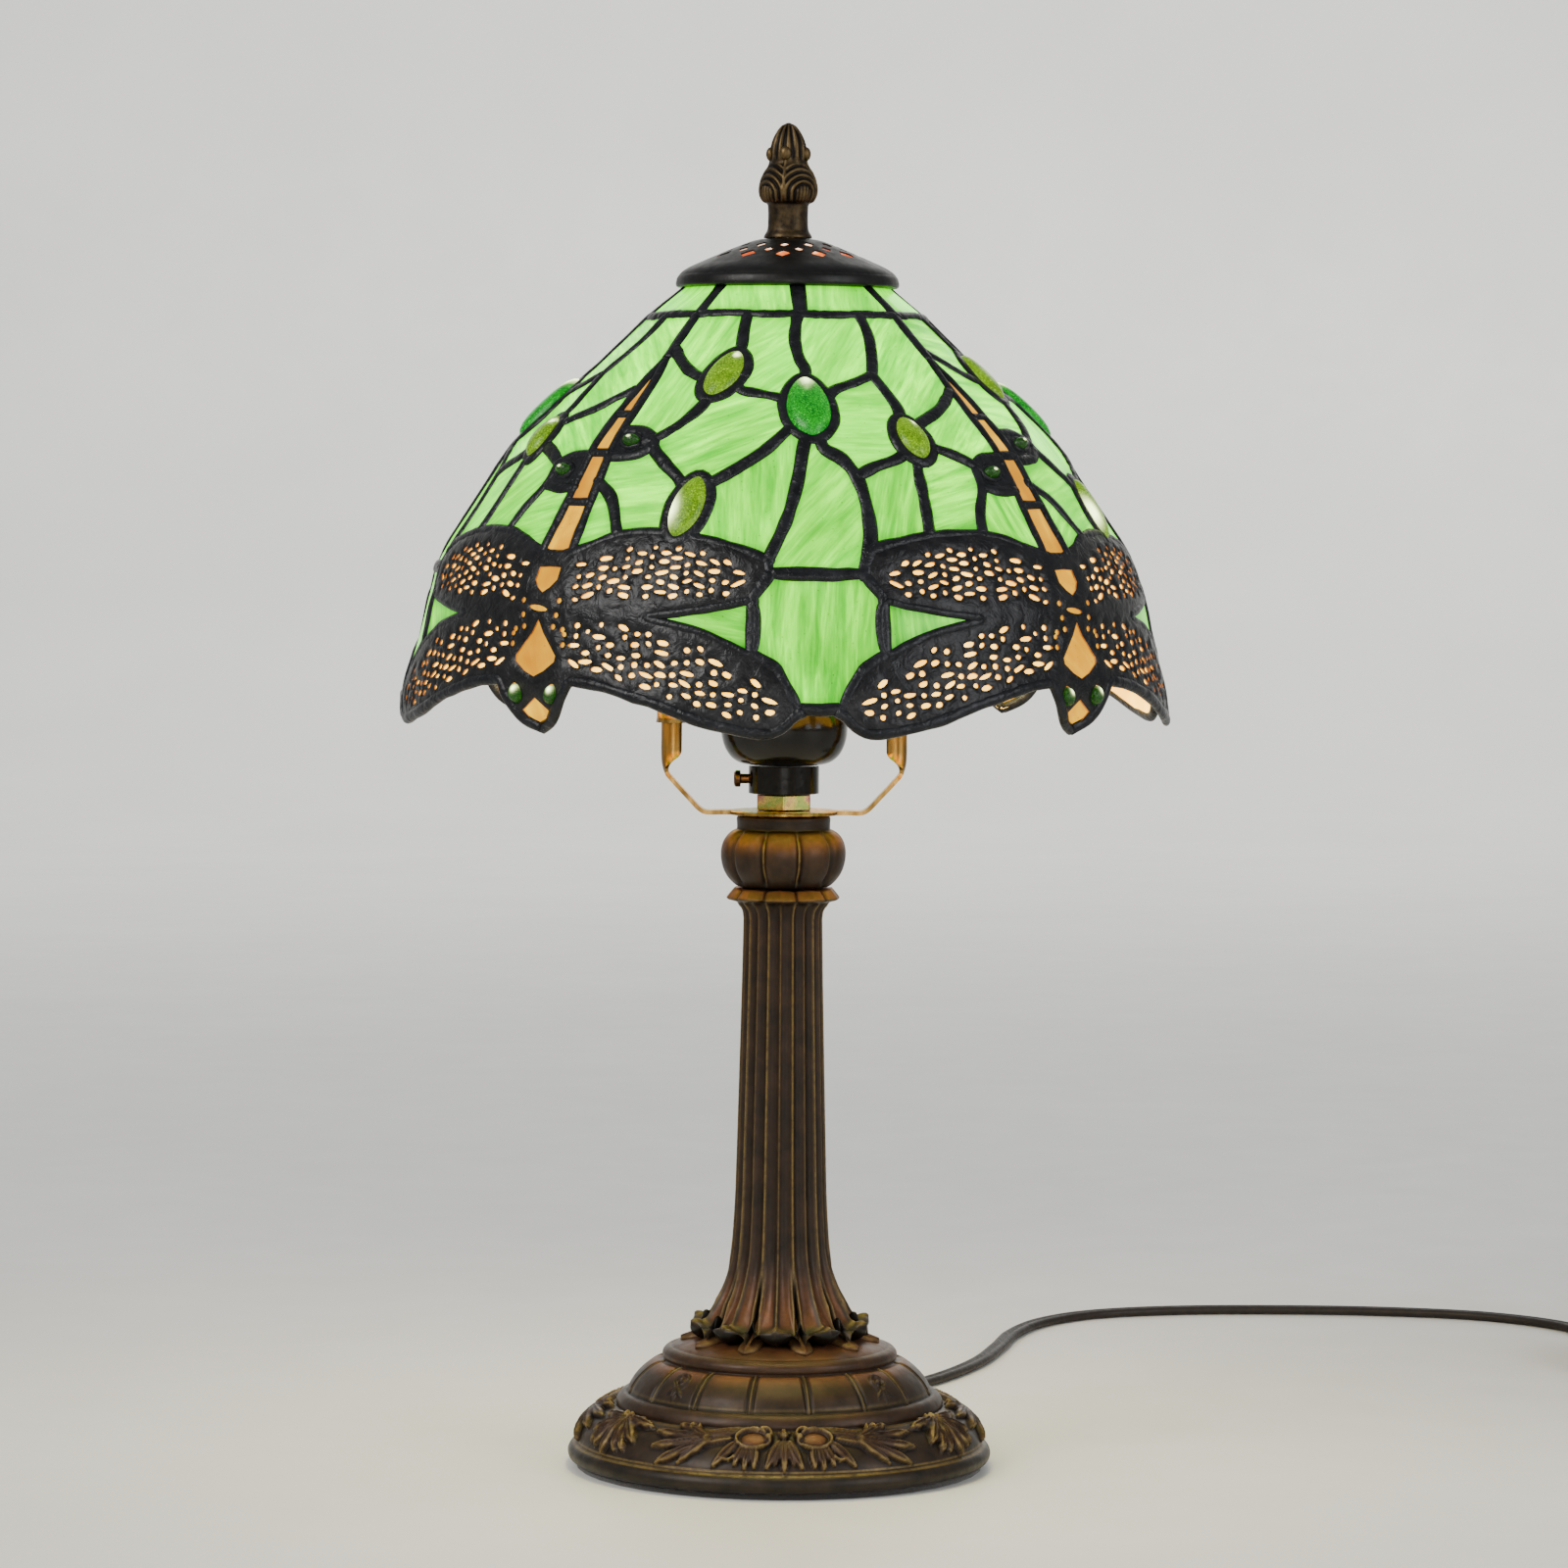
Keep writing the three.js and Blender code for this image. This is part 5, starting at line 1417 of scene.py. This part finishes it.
CROWN_LINES = {"crown_a": [(0.5, 330), (0.4, 338.8)], "crown_b": [(-44.5, 330), (-44.6, 338.8)]}
TRIANGLE = [(10.0, 250.6), (14, 249.6), (20, 247.8), (26.4, 246.0), (21.5, 243.9), (17, 241.9), (13.4, 239.2),
            (10.0, 236.9)]
PATCHES = {   # solid solder round the small jewels
    "s1": [(-32.6, 294.0), (-33.6, 295.2), (-37.0, 297.0), (-42.6, 297.2), (-42.6, 289.6), (-36.0, 290.2)],
    "s2": [(34.2, 287.8), (37.6, 289.8), (42.6, 290.3), (42.3, 281.2), (38.0, 281.0), (34.0, 282.2)],
}


def jewel_ring(key):
    centre, long, wide, lean, _ = JEWELS[key]
    return unroll(ring_points(centre, long, wide, lean))


def joined(points):
    """A line's flat points, led on to the jewels that it nearly touches."""
    flat = [tuple(p) for p in unroll(points)]
    for key in JEWELS:
        ring = jewel_ring(key)
        middle = ring.mean(axis=0)
        for end in (0, -1):
            tip = np.array([flat[end]])
            if inside_ring(tip, ring)[0] or segment_distance(tip, ring_sides(ring))[0] > 6:
                continue
            nearest = ring[np.argmin(np.linalg.norm(ring - tip, axis=1))]
            before = np.array(flat[1 if end == 0 else -2])
            if np.linalg.norm(tip[0] - middle) < np.linalg.norm(before - middle):
                flat.insert(0 if end == 0 else len(flat), tuple(nearest + 0.12 * (middle - nearest)))
    return flat


def mirrored(points, mirror):
    """The same (degrees, height) points for 1, and on the other side of the axis for -1."""
    return [(mirror * a, z) for a, z in points]


def sector_panes():
    """One sector's green panes, flat: the points, each pane's triangles, and the distances from an edge."""
    lines = [reach_out(smooth_line(joined(p), 1.7), 1.0) for p in LINES.values()]
    lines += [reach_out(unroll(p), 0.5) for p in CROWN_LINES.values()]
    outline = unroll([(-45, 255), (45, 255), (45, 338.9), (-45, 338.9)])
    flat, faces, shapes, walls, segments = cut_sheet(outline, [jewel_ring(key) for key in JEWELS], lines)
    kept = []
    for face, inside in zip(faces, shapes):
        middle = flat[list(face)].mean(axis=0)[None, :]
        angle, z = roll_up(middle)[0]
        in_tail = abs(angle) > HALF_SECTOR - tail_half(z) and z < TAIL_TOP
        patched = any(inside_ring(middle, unroll(p))[0] for p in PATCHES.values())
        if inside == {0} and z > seam_height(angle) and not in_tail and not patched:
            kept.append(face)
    panes = []
    for group in groups(kept, walls):
        corners = flat[np.array(group)]
        d1, d2 = corners[:, 1] - corners[:, 0], corners[:, 2] - corners[:, 0]
        area = 0.5 * np.abs(d1[:, 0] * d2[:, 1] - d1[:, 1] * d2[:, 0])
        if area.sum() > 6:
            panes.append(group)
    return flat, panes, segment_distance(flat, segments)


def make_glass():
    flat, panes, distance = sector_panes()
    dice = random.Random(11)
    field = Glass()
    for azimuth in SECTORS:
        for group in panes:
            field.pane(flat, group, azimuth, distance, dice)
    piece = field.piece("field_glass", GREEN, "shade")
    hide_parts("crown_glass", *("field_panel_" + side for side in SIDES))

    centre = Glass()
    middle = sheet(even(unroll(CENTRE), 1.6))
    wedges = [sheet(smooth_line(unroll(mirrored(TRIANGLE, mirror)), 1.8)) for mirror in (1, -1)]
    for azimuth in SECTORS:
        flat, faces, distance = middle
        centre.pane(flat, faces, azimuth, distance, dice, lean=90 + dice.uniform(-8, 8), tint=0.1)
        for flat, faces, distance in wedges:
            centre.pane(flat, faces, azimuth, distance, dice, tint=0.5)
    piece = centre.piece("centre_glass", GREEN, "shade")
    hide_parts(*("centre_pane_" + side for side in SIDES))


make_glass()


# ---------------------------------------------------------------- solder
def bead(bits, line, azimuth, dice, half=1.4, tall=1.25, depth=1.55, lumps=0.13):
    """One run of solder along flat points, lumpy as it cooled."""
    place = roll_up(line if len(line) > 2 else even(line, 1.2))
    centre = on_shade(place[:, 0] + azimuth, place[:, 1], depth)
    ups = outward(place[:, 0] + azimuth, place[:, 1])
    count = len(centre)
    steps = max(3, count // 3)
    wide, high = (np.interp(np.arange(count), np.linspace(0, count - 1, steps),
                            [1 + dice.uniform(-lumps, most) for _ in range(steps)])
                  for most in (lumps, lumps * 0.6))
    sections = [oval_section(half * w, tall * h, 12) for w, h in zip(wide, high)]
    bits.add(*sweep(centre, sections, ups))


def blob(bits, place, azimuth, dice, size=1.75, depth=1.6):
    """A puddle of solder where lines meet."""
    a, z = place
    centre = on_shade(a + azimuth, z, depth)
    normal = outward(a + azimuth, z)
    side = np.array((math.cos(math.radians(a + azimuth)), math.sin(math.radians(a + azimuth)), 0))
    up = np.cross(normal, side)
    s = size * dice.uniform(0.85, 1.15)
    bits.add(*ball(centre, (s, s * dice.uniform(0.85, 1.15), 1.3), (side, up, normal), 7, 14))


def closed_line(points, step):
    line = smooth_line(points, step, closed=True)
    return np.concatenate([line, line[1:3]])


# Half widths of the beads that aren't the usual 2 mm.
WIDTHS = {"ring": 1.8, "tail_l": 1.75, "tail_r": 1.75, "crown_a": 2.3, "crown_b": 2.3, "p8_right": 2.2,
          "seam": 1.8, "seam_r": 1.8, "petal_low": 1.7}


def droop(angle, z):
    """The heads hang inwards and the backs stand a little proud: extra depth at a place on a plate."""
    angle, z = np.asarray(angle, float), np.asarray(z, float)
    head = 6.0 * np.clip((234 - z) / 17, 0, 1.1) ** 1.4 * bell(angle, 6.5)
    back = 1.2 * bell(z - 250, 9) * bell(angle, 9)
    return head - back


def make_solder():
    bits = Bits()
    dice = random.Random(23)
    for azimuth in SECTORS:
        for name, points in {**LINES, **CROWN_LINES}.items():
            line = smooth_line(joined(points), 1.3)
            bead(bits, line, azimuth, dice, WIDTHS.get(name, 2.0))
            if name not in ("ring", "tail_l", "tail_r"):
                for end in (points[0], points[-1]):
                    if abs(end[0]) < 44.5:
                        blob(bits, end, azimuth, dice, 2.1 if name in WIDTHS else 1.7)
        for key in JEWELS:
            half = 0.9 if key in PATCHES else 2.2
            bead(bits, closed_line(jewel_ring(key), 1.3), azimuth, dice, half, 1.4)
        for key, ring in PATCHES.items():
            flat, faces, _ = sheet(unroll(ring), [jewel_ring(key)], 1.6, 0.6)
            place = roll_up(flat)
            lumps = np.array([dice.uniform(-0.12, 0.12) for _ in flat])
            bits.add(*slab(on_shade(place[:, 0] + azimuth, place[:, 1], 0.75 + lumps),
                           on_shade(place[:, 0] + azimuth, place[:, 1], 2.8), faces))
        bead(bits, even(unroll(CENTRE + CENTRE[:1]), 1.2), azimuth, dice, 1.9)
        for mirror in (1, -1):
            bead(bits, closed_line(unroll(mirrored(TRIANGLE, mirror)), 1.4), azimuth, dice, 1.45)
            hem = smooth_line(unroll([(mirror * (HALF_SECTOR - b), z + 0.4) for b, z in HEM]), 1.4)
            fall = droop(HALF_SECTOR - np.abs(roll_up(hem)[:, 0]), roll_up(hem)[:, 1])
            bead(bits, hem, azimuth, dice, 1.7, 1.35, 1.5 + fall)
        for z in TAIL_CUTS:
            ends = [(HALF_SECTOR - tail_half(z), z), (HALF_SECTOR + tail_half(z), z)]
            bead(bits, even(unroll(ends), 1.0), azimuth, dice, 1.6)
    bits.add(*revolve([(29.2, 337.2), (30.3, 337.6), (30.6, 338.6), (29.9, 339.2),
                       (28.6, 339.0)], 120, wrap=True))
    solder = bits.piece("solder_lines", PATINA, "shade")


make_solder()


# ---------------------------------------------------------------- dragonflies
UPPER_WING = [(3.6, 259.4), (8.4, 262.2), (13.3, 265.2), (19.0, 266.2), (24.6, 265.6), (29.8, 263.4),
              (33.6, 261.0), (35.4, 258.0), (34.6, 254.2), (31.6, 251.6), (25.6, 250.6), (15.2, 250.4),
              (4.6, 249.8)]
LOWER_WING = [(4.6, 243.6), (10, 245.0), (15.9, 244.6), (20.9, 242.6), (25.2, 240.8), (29.6, 237.8),
              (34.0, 232.8), (37.4, 228.4), (39.6, 223.4), (39.2, 219.4), (37.0, 218.0), (31.6, 219.2),
              (25.2, 222.8), (17.6, 227.6), (12.0, 230.0), (8.0, 231.2), (5.4, 234.0)]
BODY = [(0, 244.7), (1.1, 241.3), (3.9, 235.2), (3.8, 233.6), (1.9, 231.2), (0, 229.8)]
PENTAGON = [(0, 259.3), (2.2, 259.1), (2.25, 255.6), (1.2, 253.4), (0, 252.0)]
HEAD = [(0, 224.2), (2.6, 220.6), (1.4, 218.0), (0, 216.7)]
DOTS = [(3.6, 249.9), (3.3, 246.0), (4.7, 242.2), (2.9, 242.9), (5.0, 238.2)]
PLATE = [(0, 263.6), (2.8, 264.8), (7, 267.0), (11.6, 268.8), (17.9, 270.0), (24.2, 268.8), (30.8, 266.6),
         (36.4, 262.6), (37.4, 259.5), (36.4, 256), (35.5, 252.6), (34.6, 250.7), (30.0, 249.4),
         (24.0, 247.6), (18.6, 246.0), (23.5, 243.9), (28.0, 241.9), (31.6, 239.2), (34.9, 236.6),
         (37.2, 234.4), (38.9, 232.6), (40.6, 228.4), (41.8, 223.6), (41.6, 221.4), (41.0, 219.4),
         (39.9, 217.4), (38.4, 216.0), (36.6, 215.8), (32, 217.2), (27, 219.6), (22, 222.9), (16, 226.2),
         (9, 228.8), (6.9, 228.6), (5.6, 225.0), (4.2, 221.0), (2.6, 217.8), (0, 215.8)]


def both_sides(half):
    """A closed ring from its right half, which starts and ends on the axis."""
    return half + [(-a, z) for a, z in half[-2:0:-1]]


def lace(ring, dice):
    """Oval piercings in staggered columns inside one flat wing ring."""
    low, high = ring.min(axis=0), ring.max(axis=0)
    holes, spans = [], []
    xs = np.arange(low[0] + 1.5, high[0] - 0.6, 3.8)
    for x in xs:
        column = np.array([(x, y) for y in np.arange(low[1], high[1], 0.25)])
        inside = column[inside_ring(column, ring)]
        spans.append((inside[:, 1].min(), inside[:, 1].max()) if len(inside) > 3 else None)
    for i, (x, span) in enumerate(zip(xs, spans)):
        if span is None:
            continue
        bottom, top = span
        rows = max(2, int(round((top - bottom) / 2.9)))
        after = spans[i + 1] if i + 1 < len(spans) and spans[i + 1] else span
        before = spans[i - 1] if i and spans[i - 1] else span
        for j in range(rows + 1):
            share = (j + (0.5 if i % 2 else 0.0)) / rows
            if share > 1:
                continue
            y = bottom + share * (top - bottom)
            slope = (after[0] - before[0]) * (1 - share) + (after[1] - before[1]) * share
            lean = math.atan2(slope, 7.6) + dice.uniform(-0.3, 0.3)
            long, wide = dice.choice((0.8, 1.0, 1.4, 1.8, 2.2)), dice.uniform(0.62, 0.82)
            cx, cy = x + dice.uniform(-0.4, 0.4), y + dice.uniform(-0.3, 0.3)
            c, s = math.cos(lean), math.sin(lean)
            hole = []
            for t in np.linspace(0, 2 * math.pi, 9, endpoint=False):
                wobble = dice.uniform(0.86, 1.1)
                u, v = long * wobble * math.cos(t), wide * wobble * math.sin(t)
                hole.append((cx + u * c - v * s, cy + u * s + v * c))
            hole = np.array(hole)
            apart = all(np.linalg.norm(hole[:, None] - other[None], axis=2).min() > 0.8
                        for other in holes[-12:])
            if (apart and inside_ring(hole, ring).all()
                    and segment_distance(hole, ring_sides(ring)).min() > 0.2):
                holes.append(hole)
    return holes


def make_dragonflies():
    dice = random.Random(5)
    openings = []
    for half in (UPPER_WING, LOWER_WING):
        right = smooth_line(unroll(half), 1.5, closed=True)[:-1]
        found = lace(right, dice)
        openings += found
        openings += [np.stack([-h[:, 0], h[:, 1]], axis=1)[::-1] for h in found]
    body_holes = [unroll(both_sides(BODY)), unroll(both_sides(PENTAGON)),
                  unroll(both_sides(HEAD)), unroll(ring_points((-0.3, 247.8), 0.8, 3.4, 8, 12))]
    for a, z in DOTS:
        body_holes += [unroll(ring_points((side * a, z), 0.8, 0.8, 0, 8)) for side in (1, -1)]
    eyes = [unroll(ring_points((side * EYE[0], EYE[1]), *EYE_SIZE, side * EYE_LEAN, 16)) for side in (1, -1)]
    outline = smooth_line(unroll(both_sides(PLATE)), 1.5, closed=True)[:-1]
    flat, kept, distance = sheet(outline, openings + body_holes + eyes, 1.7, 0.45)
    rise = np.clip(distance / 0.7, 0, 1)
    place = roll_up(flat)
    plate, rims_of = Bits("rise"), []
    for azimuth in SECTORS:
        a = place[:, 0] + azimuth + HALF_SECTOR
        hang = droop(place[:, 0], place[:, 1])
        front = on_shade(a, place[:, 1], 0.95 - 0.45 * rise ** 0.7 + hang)
        back = on_shade(a, place[:, 1], 1.4 + hang)
        verts, made = slab(front, back, kept)
        rims_of.append((len(plate.faces) + 2 * len(kept), len(plate.faces) + len(made)))
        plate.add(verts, made, rise=np.concatenate([rise, rise * 0]))
    piece = plate.piece("dragonfly_plates", WING, "shade")
    # Light leaks warm round the rim of every piercing.
    piece.data.materials.append(RIM)
    for start, end in rims_of:
        for index in range(start, end):
            piece.data.polygons[index].material_index = 1
    sharpen(piece, 50)
    names = ("front_right", "back_right", "back_left", "front_left")
    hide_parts(*("dragonfly_wings_" + n for n in names))

    # Lit glass behind: cream under the wings, amber under the body.
    trunk = unroll(both_sides([(0, 262.5), (3.4, 262.2), (4.6, 252.5), (6.0, 247), (6.4, 236), (5.0, 229),
                               (3.4, 227.6), (3.2, 218.8), (0, 216.6)]))
    for name, wanted, look, slot in (("wing_glass", {0}, CREAM, "wing_filigree"),
                                     ("body_glass", {0, 1}, AMBER, "amber_glass")):
        glass = Glass()
        flat, kept, distance = sheet(outline, [trunk], 2.8, 0.9, wanted)
        for azimuth in SECTORS:
            glass.pane(flat, kept, azimuth + HALF_SECTOR, distance + 3, dice, depth=2.1, thick=1.2,
                       flatten=0.0, hang=droop, power=1.0)
        glass.piece(name, look, "shade")

    # Tails: four amber panes each.
    tails = Glass()
    for azimuth in SECTORS:
        for top, low in zip((317, *TAIL_CUTS), (*TAIL_CUTS, 262.4)):
            levels = np.linspace(low, top, 7)
            ring = [(tail_half(z), z) for z in levels] + [(-tail_half(z), z) for z in levels[::-1]]
            ring = [p for i, p in enumerate(ring) if i == 0 or math.dist(p, ring[i - 1]) > 0.05]
            flat, kept, distance = sheet(unroll(ring), (), 2.0, 0.6)
            tails.pane(flat, kept, azimuth + HALF_SECTOR, distance * 1.6, dice, lean=90, power=1.0)
    piece = tails.piece("tail_glass", AMBER, "shade")
    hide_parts(*("dragonfly_tail_" + n for n in names))


make_dragonflies()


# ---------------------------------------------------------------- jewels
def cabochon(bits, ring, azimuth, dome, hot, sink=0.0):
    """A domed pressed-glass jewel inside a ring on the shade; hot is the x, y and size of its painted glint.
    """
    ring = np.array(ring, float)
    centre = ring.mean(axis=0)
    verts, glow = [], []
    levels = [(1.0, 2.9), (1.0, 1.4), (0.97, 1.4 - 0.3 * dome), (0.88, 1.4 - 0.58 * dome),
              (0.72, 1.4 - 0.8 * dome), (0.52, 1.4 - 0.92 * dome), (0.3, 1.4 - 0.98 * dome),
              (0.1, 1.4 - dome)]
    for share, depth in levels:
        p = centre + share * (ring - centre)
        verts.extend(on_shade(p[:, 0] + azimuth, p[:, 1], depth + sink))
        local = share * (ring - centre) / (np.abs(ring - centre).max(axis=0) + 1e-9)
        away = (local[:, 0] - hot[0]) ** 2 + (local[:, 1] - hot[1]) ** 2
        glow.extend(np.clip(1.25 * np.exp(-away / hot[2] ** 2), 0, 1))
    faces = ring_faces(len(levels), len(ring)) + end_faces(len(levels), len(ring))
    bits.add(verts, faces, hot=np.array(glow))


def make_jewels():
    emerald, olive, moss = Bits("hot"), Bits("hot"), Bits("hot")
    sets = {"emerald": emerald, "olive": olive, "moss": moss}
    painted_glints = {"a": (0.5, 0.7, 0.12), "b": (-0.02, 0.86, 0.24), "c": (0.3, 0.6, 0.12),
                 "d": (-0.85, -0.15, 0.36), "s1": (0, 0, 0.12), "s2": (0, 0, 0.12)}
    for azimuth in SECTORS:
        for key, (centre, long, wide, lean, kind) in JEWELS.items():
            ring = ring_points(centre, long - 0.4, wide - 0.4, lean, 28)
            cabochon(sets[kind], ring, azimuth, 3.6 if key == "b" else 3.0, painted_glints[key])
        for side in (1, -1):
            eye = ring_points((HALF_SECTOR + side * EYE[0], EYE[1]), *EYE_SIZE, side * EYE_LEAN, 20)
            cabochon(moss, eye, azimuth, 2.4, (0.2, 0.4, 0.3), float(droop(side * EYE[0], EYE[1])))
    piece = emerald.piece("emerald_jewels", EMERALD, "shade")
    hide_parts(*("centre_jewel_" + side for side in SIDES))
    olive.piece("olive_jewels", OLIVE, "shade")
    moss.piece("moss_jewels", MOSS, "shade")


make_jewels()


# ---------------------------------------------------------------- vented cap
CAP_LINE = smooth_line([(3.5, 351.4), (7, 351.4), (9.5, 351.0), (13, 349.8), (17.4, 348.0), (23.5, 345.4),
                        (28.2, 343.2), (30.4, 341.7), (31.4, 340.3)], 0.4)


def make_cap():
    def circle(radius, count):
        turns = [2 * math.pi * i / count for i in range(count)]
        return np.array([(radius * math.sin(t), -radius * math.cos(t)) for t in turns])

    def diamond(radius, degrees, long, wide):
        a = math.radians(degrees)
        out, side = np.array((math.sin(a), -math.cos(a))), np.array((math.cos(a), math.sin(a)))
        ring = [(long, 0), (0.5 * long, 0.6 * wide), (0, wide), (-0.5 * long, 0.6 * wide), (-long, 0),
                (-0.5 * long, -0.6 * wide), (0, -wide), (0.5 * long, -0.6 * wide)]
        return np.array([out * (radius + u) + side * v for u, v in ring])

    holes = [circle(3.5, 40)[::-1]]
    for k in range(12):
        holes += [diamond(20.0, 30 * k - 4, 2.5, 2.5), diamond(16.6, 30 * k + 11, 1.6, 1.6),
                  diamond(13.4, 30 * k - 4, 1.7, 1.7)]
    flat, kept, _ = sheet(circle(31.4, 180), holes, 1.5, 0.45)
    r = np.linalg.norm(flat, axis=1)
    az = np.arctan2(flat[:, 0], -flat[:, 1])
    z = np.interp(r, CAP_LINE[:, 0], CAP_LINE[:, 1])
    # Faint hand-spun waves.
    z = z - 0.16 * np.abs(np.sin(az * 6)) * step_up(8, 14, r) * (1 - step_up(25, 29, r))
    bits = Bits()
    bits.add(*slab(np.column_stack([flat, z]), np.column_stack([flat, z - 0.5]), kept))
    rim = smooth_line([(30.7, 341.1), (31.35, 340.45), (31.75, 339.2), (31.8, 338.2), (31.4, 337.6),
                       (30.9, 337.9), (30.8, 339.2), (30.4, 340.4)], 0.35, closed=True)[:-1]
    bits.add(*revolve(rim[::-1], 150, wrap=True))
    cap = bits.piece("vented_cap", CAP_PATINA, "shade")
    sharpen(cap, 45)
    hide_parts("vase_cap")
    # A painted glow: a thin lit sheet under the vents stands for the bulb-lit inside of the cap.
    glow_line = smooth_line([(9.0, 349.9), (13, 348.7), (17.4, 346.9), (23.5, 344.3), (27.0, 342.6)], 1.2)
    under = glow_line[::-1] - (0, 0.4)
    verts, made = revolve(np.concatenate([glow_line[::-1], under[::-1]]), 120, wrap=True)
    new_piece("painted_vent_glow", verts, made, VENT_GLOW, "shade")


make_cap()


# ---------------------------------------------------------------- table, wall and light
def make_stage():
    """A table that runs on into a wall in one curve, in metres."""
    front, bend, half_width, curve, top = -7, 2.7, 5, 0.8, 3.6
    rows = [(front, 0), (bend, 0)]
    rows += [(bend + curve * math.sin(t), curve - curve * math.cos(t))
             for t in np.linspace(0.1, math.pi / 2, 12)]
    rows += [(bend + curve, top)]
    mesh = bpy.data.meshes.new("table_and_wall")
    mesh.from_pydata([(x, y, z) for y, z in rows for x in (-half_width, half_width)], [],
                     [(2 * i, 2 * i + 1, 2 * i + 3, 2 * i + 2) for i in range(len(rows) - 1)])
    mesh.polygons.foreach_set("use_smooth", [True] * len(mesh.polygons))
    look = Look("table", Roughness=0.5)
    drift = look.noise(6, 4, 0.5)
    look.drive("Base Color", look.mix(drift, srgb(214, 214, 210), srgb(228, 228, 224)))
    look.drive("Roughness", look.ramp(look.noise(40, 3, 0.5), (0.3, 0.42), (0.7, 0.56)))
    look.drive("Normal", look.bump(look.noise(700, 3, 0.6), 0.0001, 0.3))
    mesh.materials.append(look.material)
    floor = bpy.data.objects.new("table_and_wall", mesh)
    scene.collection.objects.link(floor)


def make_glow():
    """The bulb's light, inside the shade."""
    data = bpy.data.lights.new("bulb_light", "POINT")
    data.energy, data.color, data.shadow_soft_size = 3.2, (1.0, 0.78, 0.5), 0.028
    light = bpy.data.objects.new("bulb_light", data)
    light.location = (0, 0, 0.284)
    scene.collection.objects.link(light)


make_stage()
make_glow()
world = bpy.data.worlds.new("room")
scene.world = world
world.use_nodes = True
world.node_tree.nodes["Background"].inputs["Color"].default_value = (0.93, 0.95, 1, 1)
world.node_tree.nodes["Background"].inputs["Strength"].default_value = 0.35
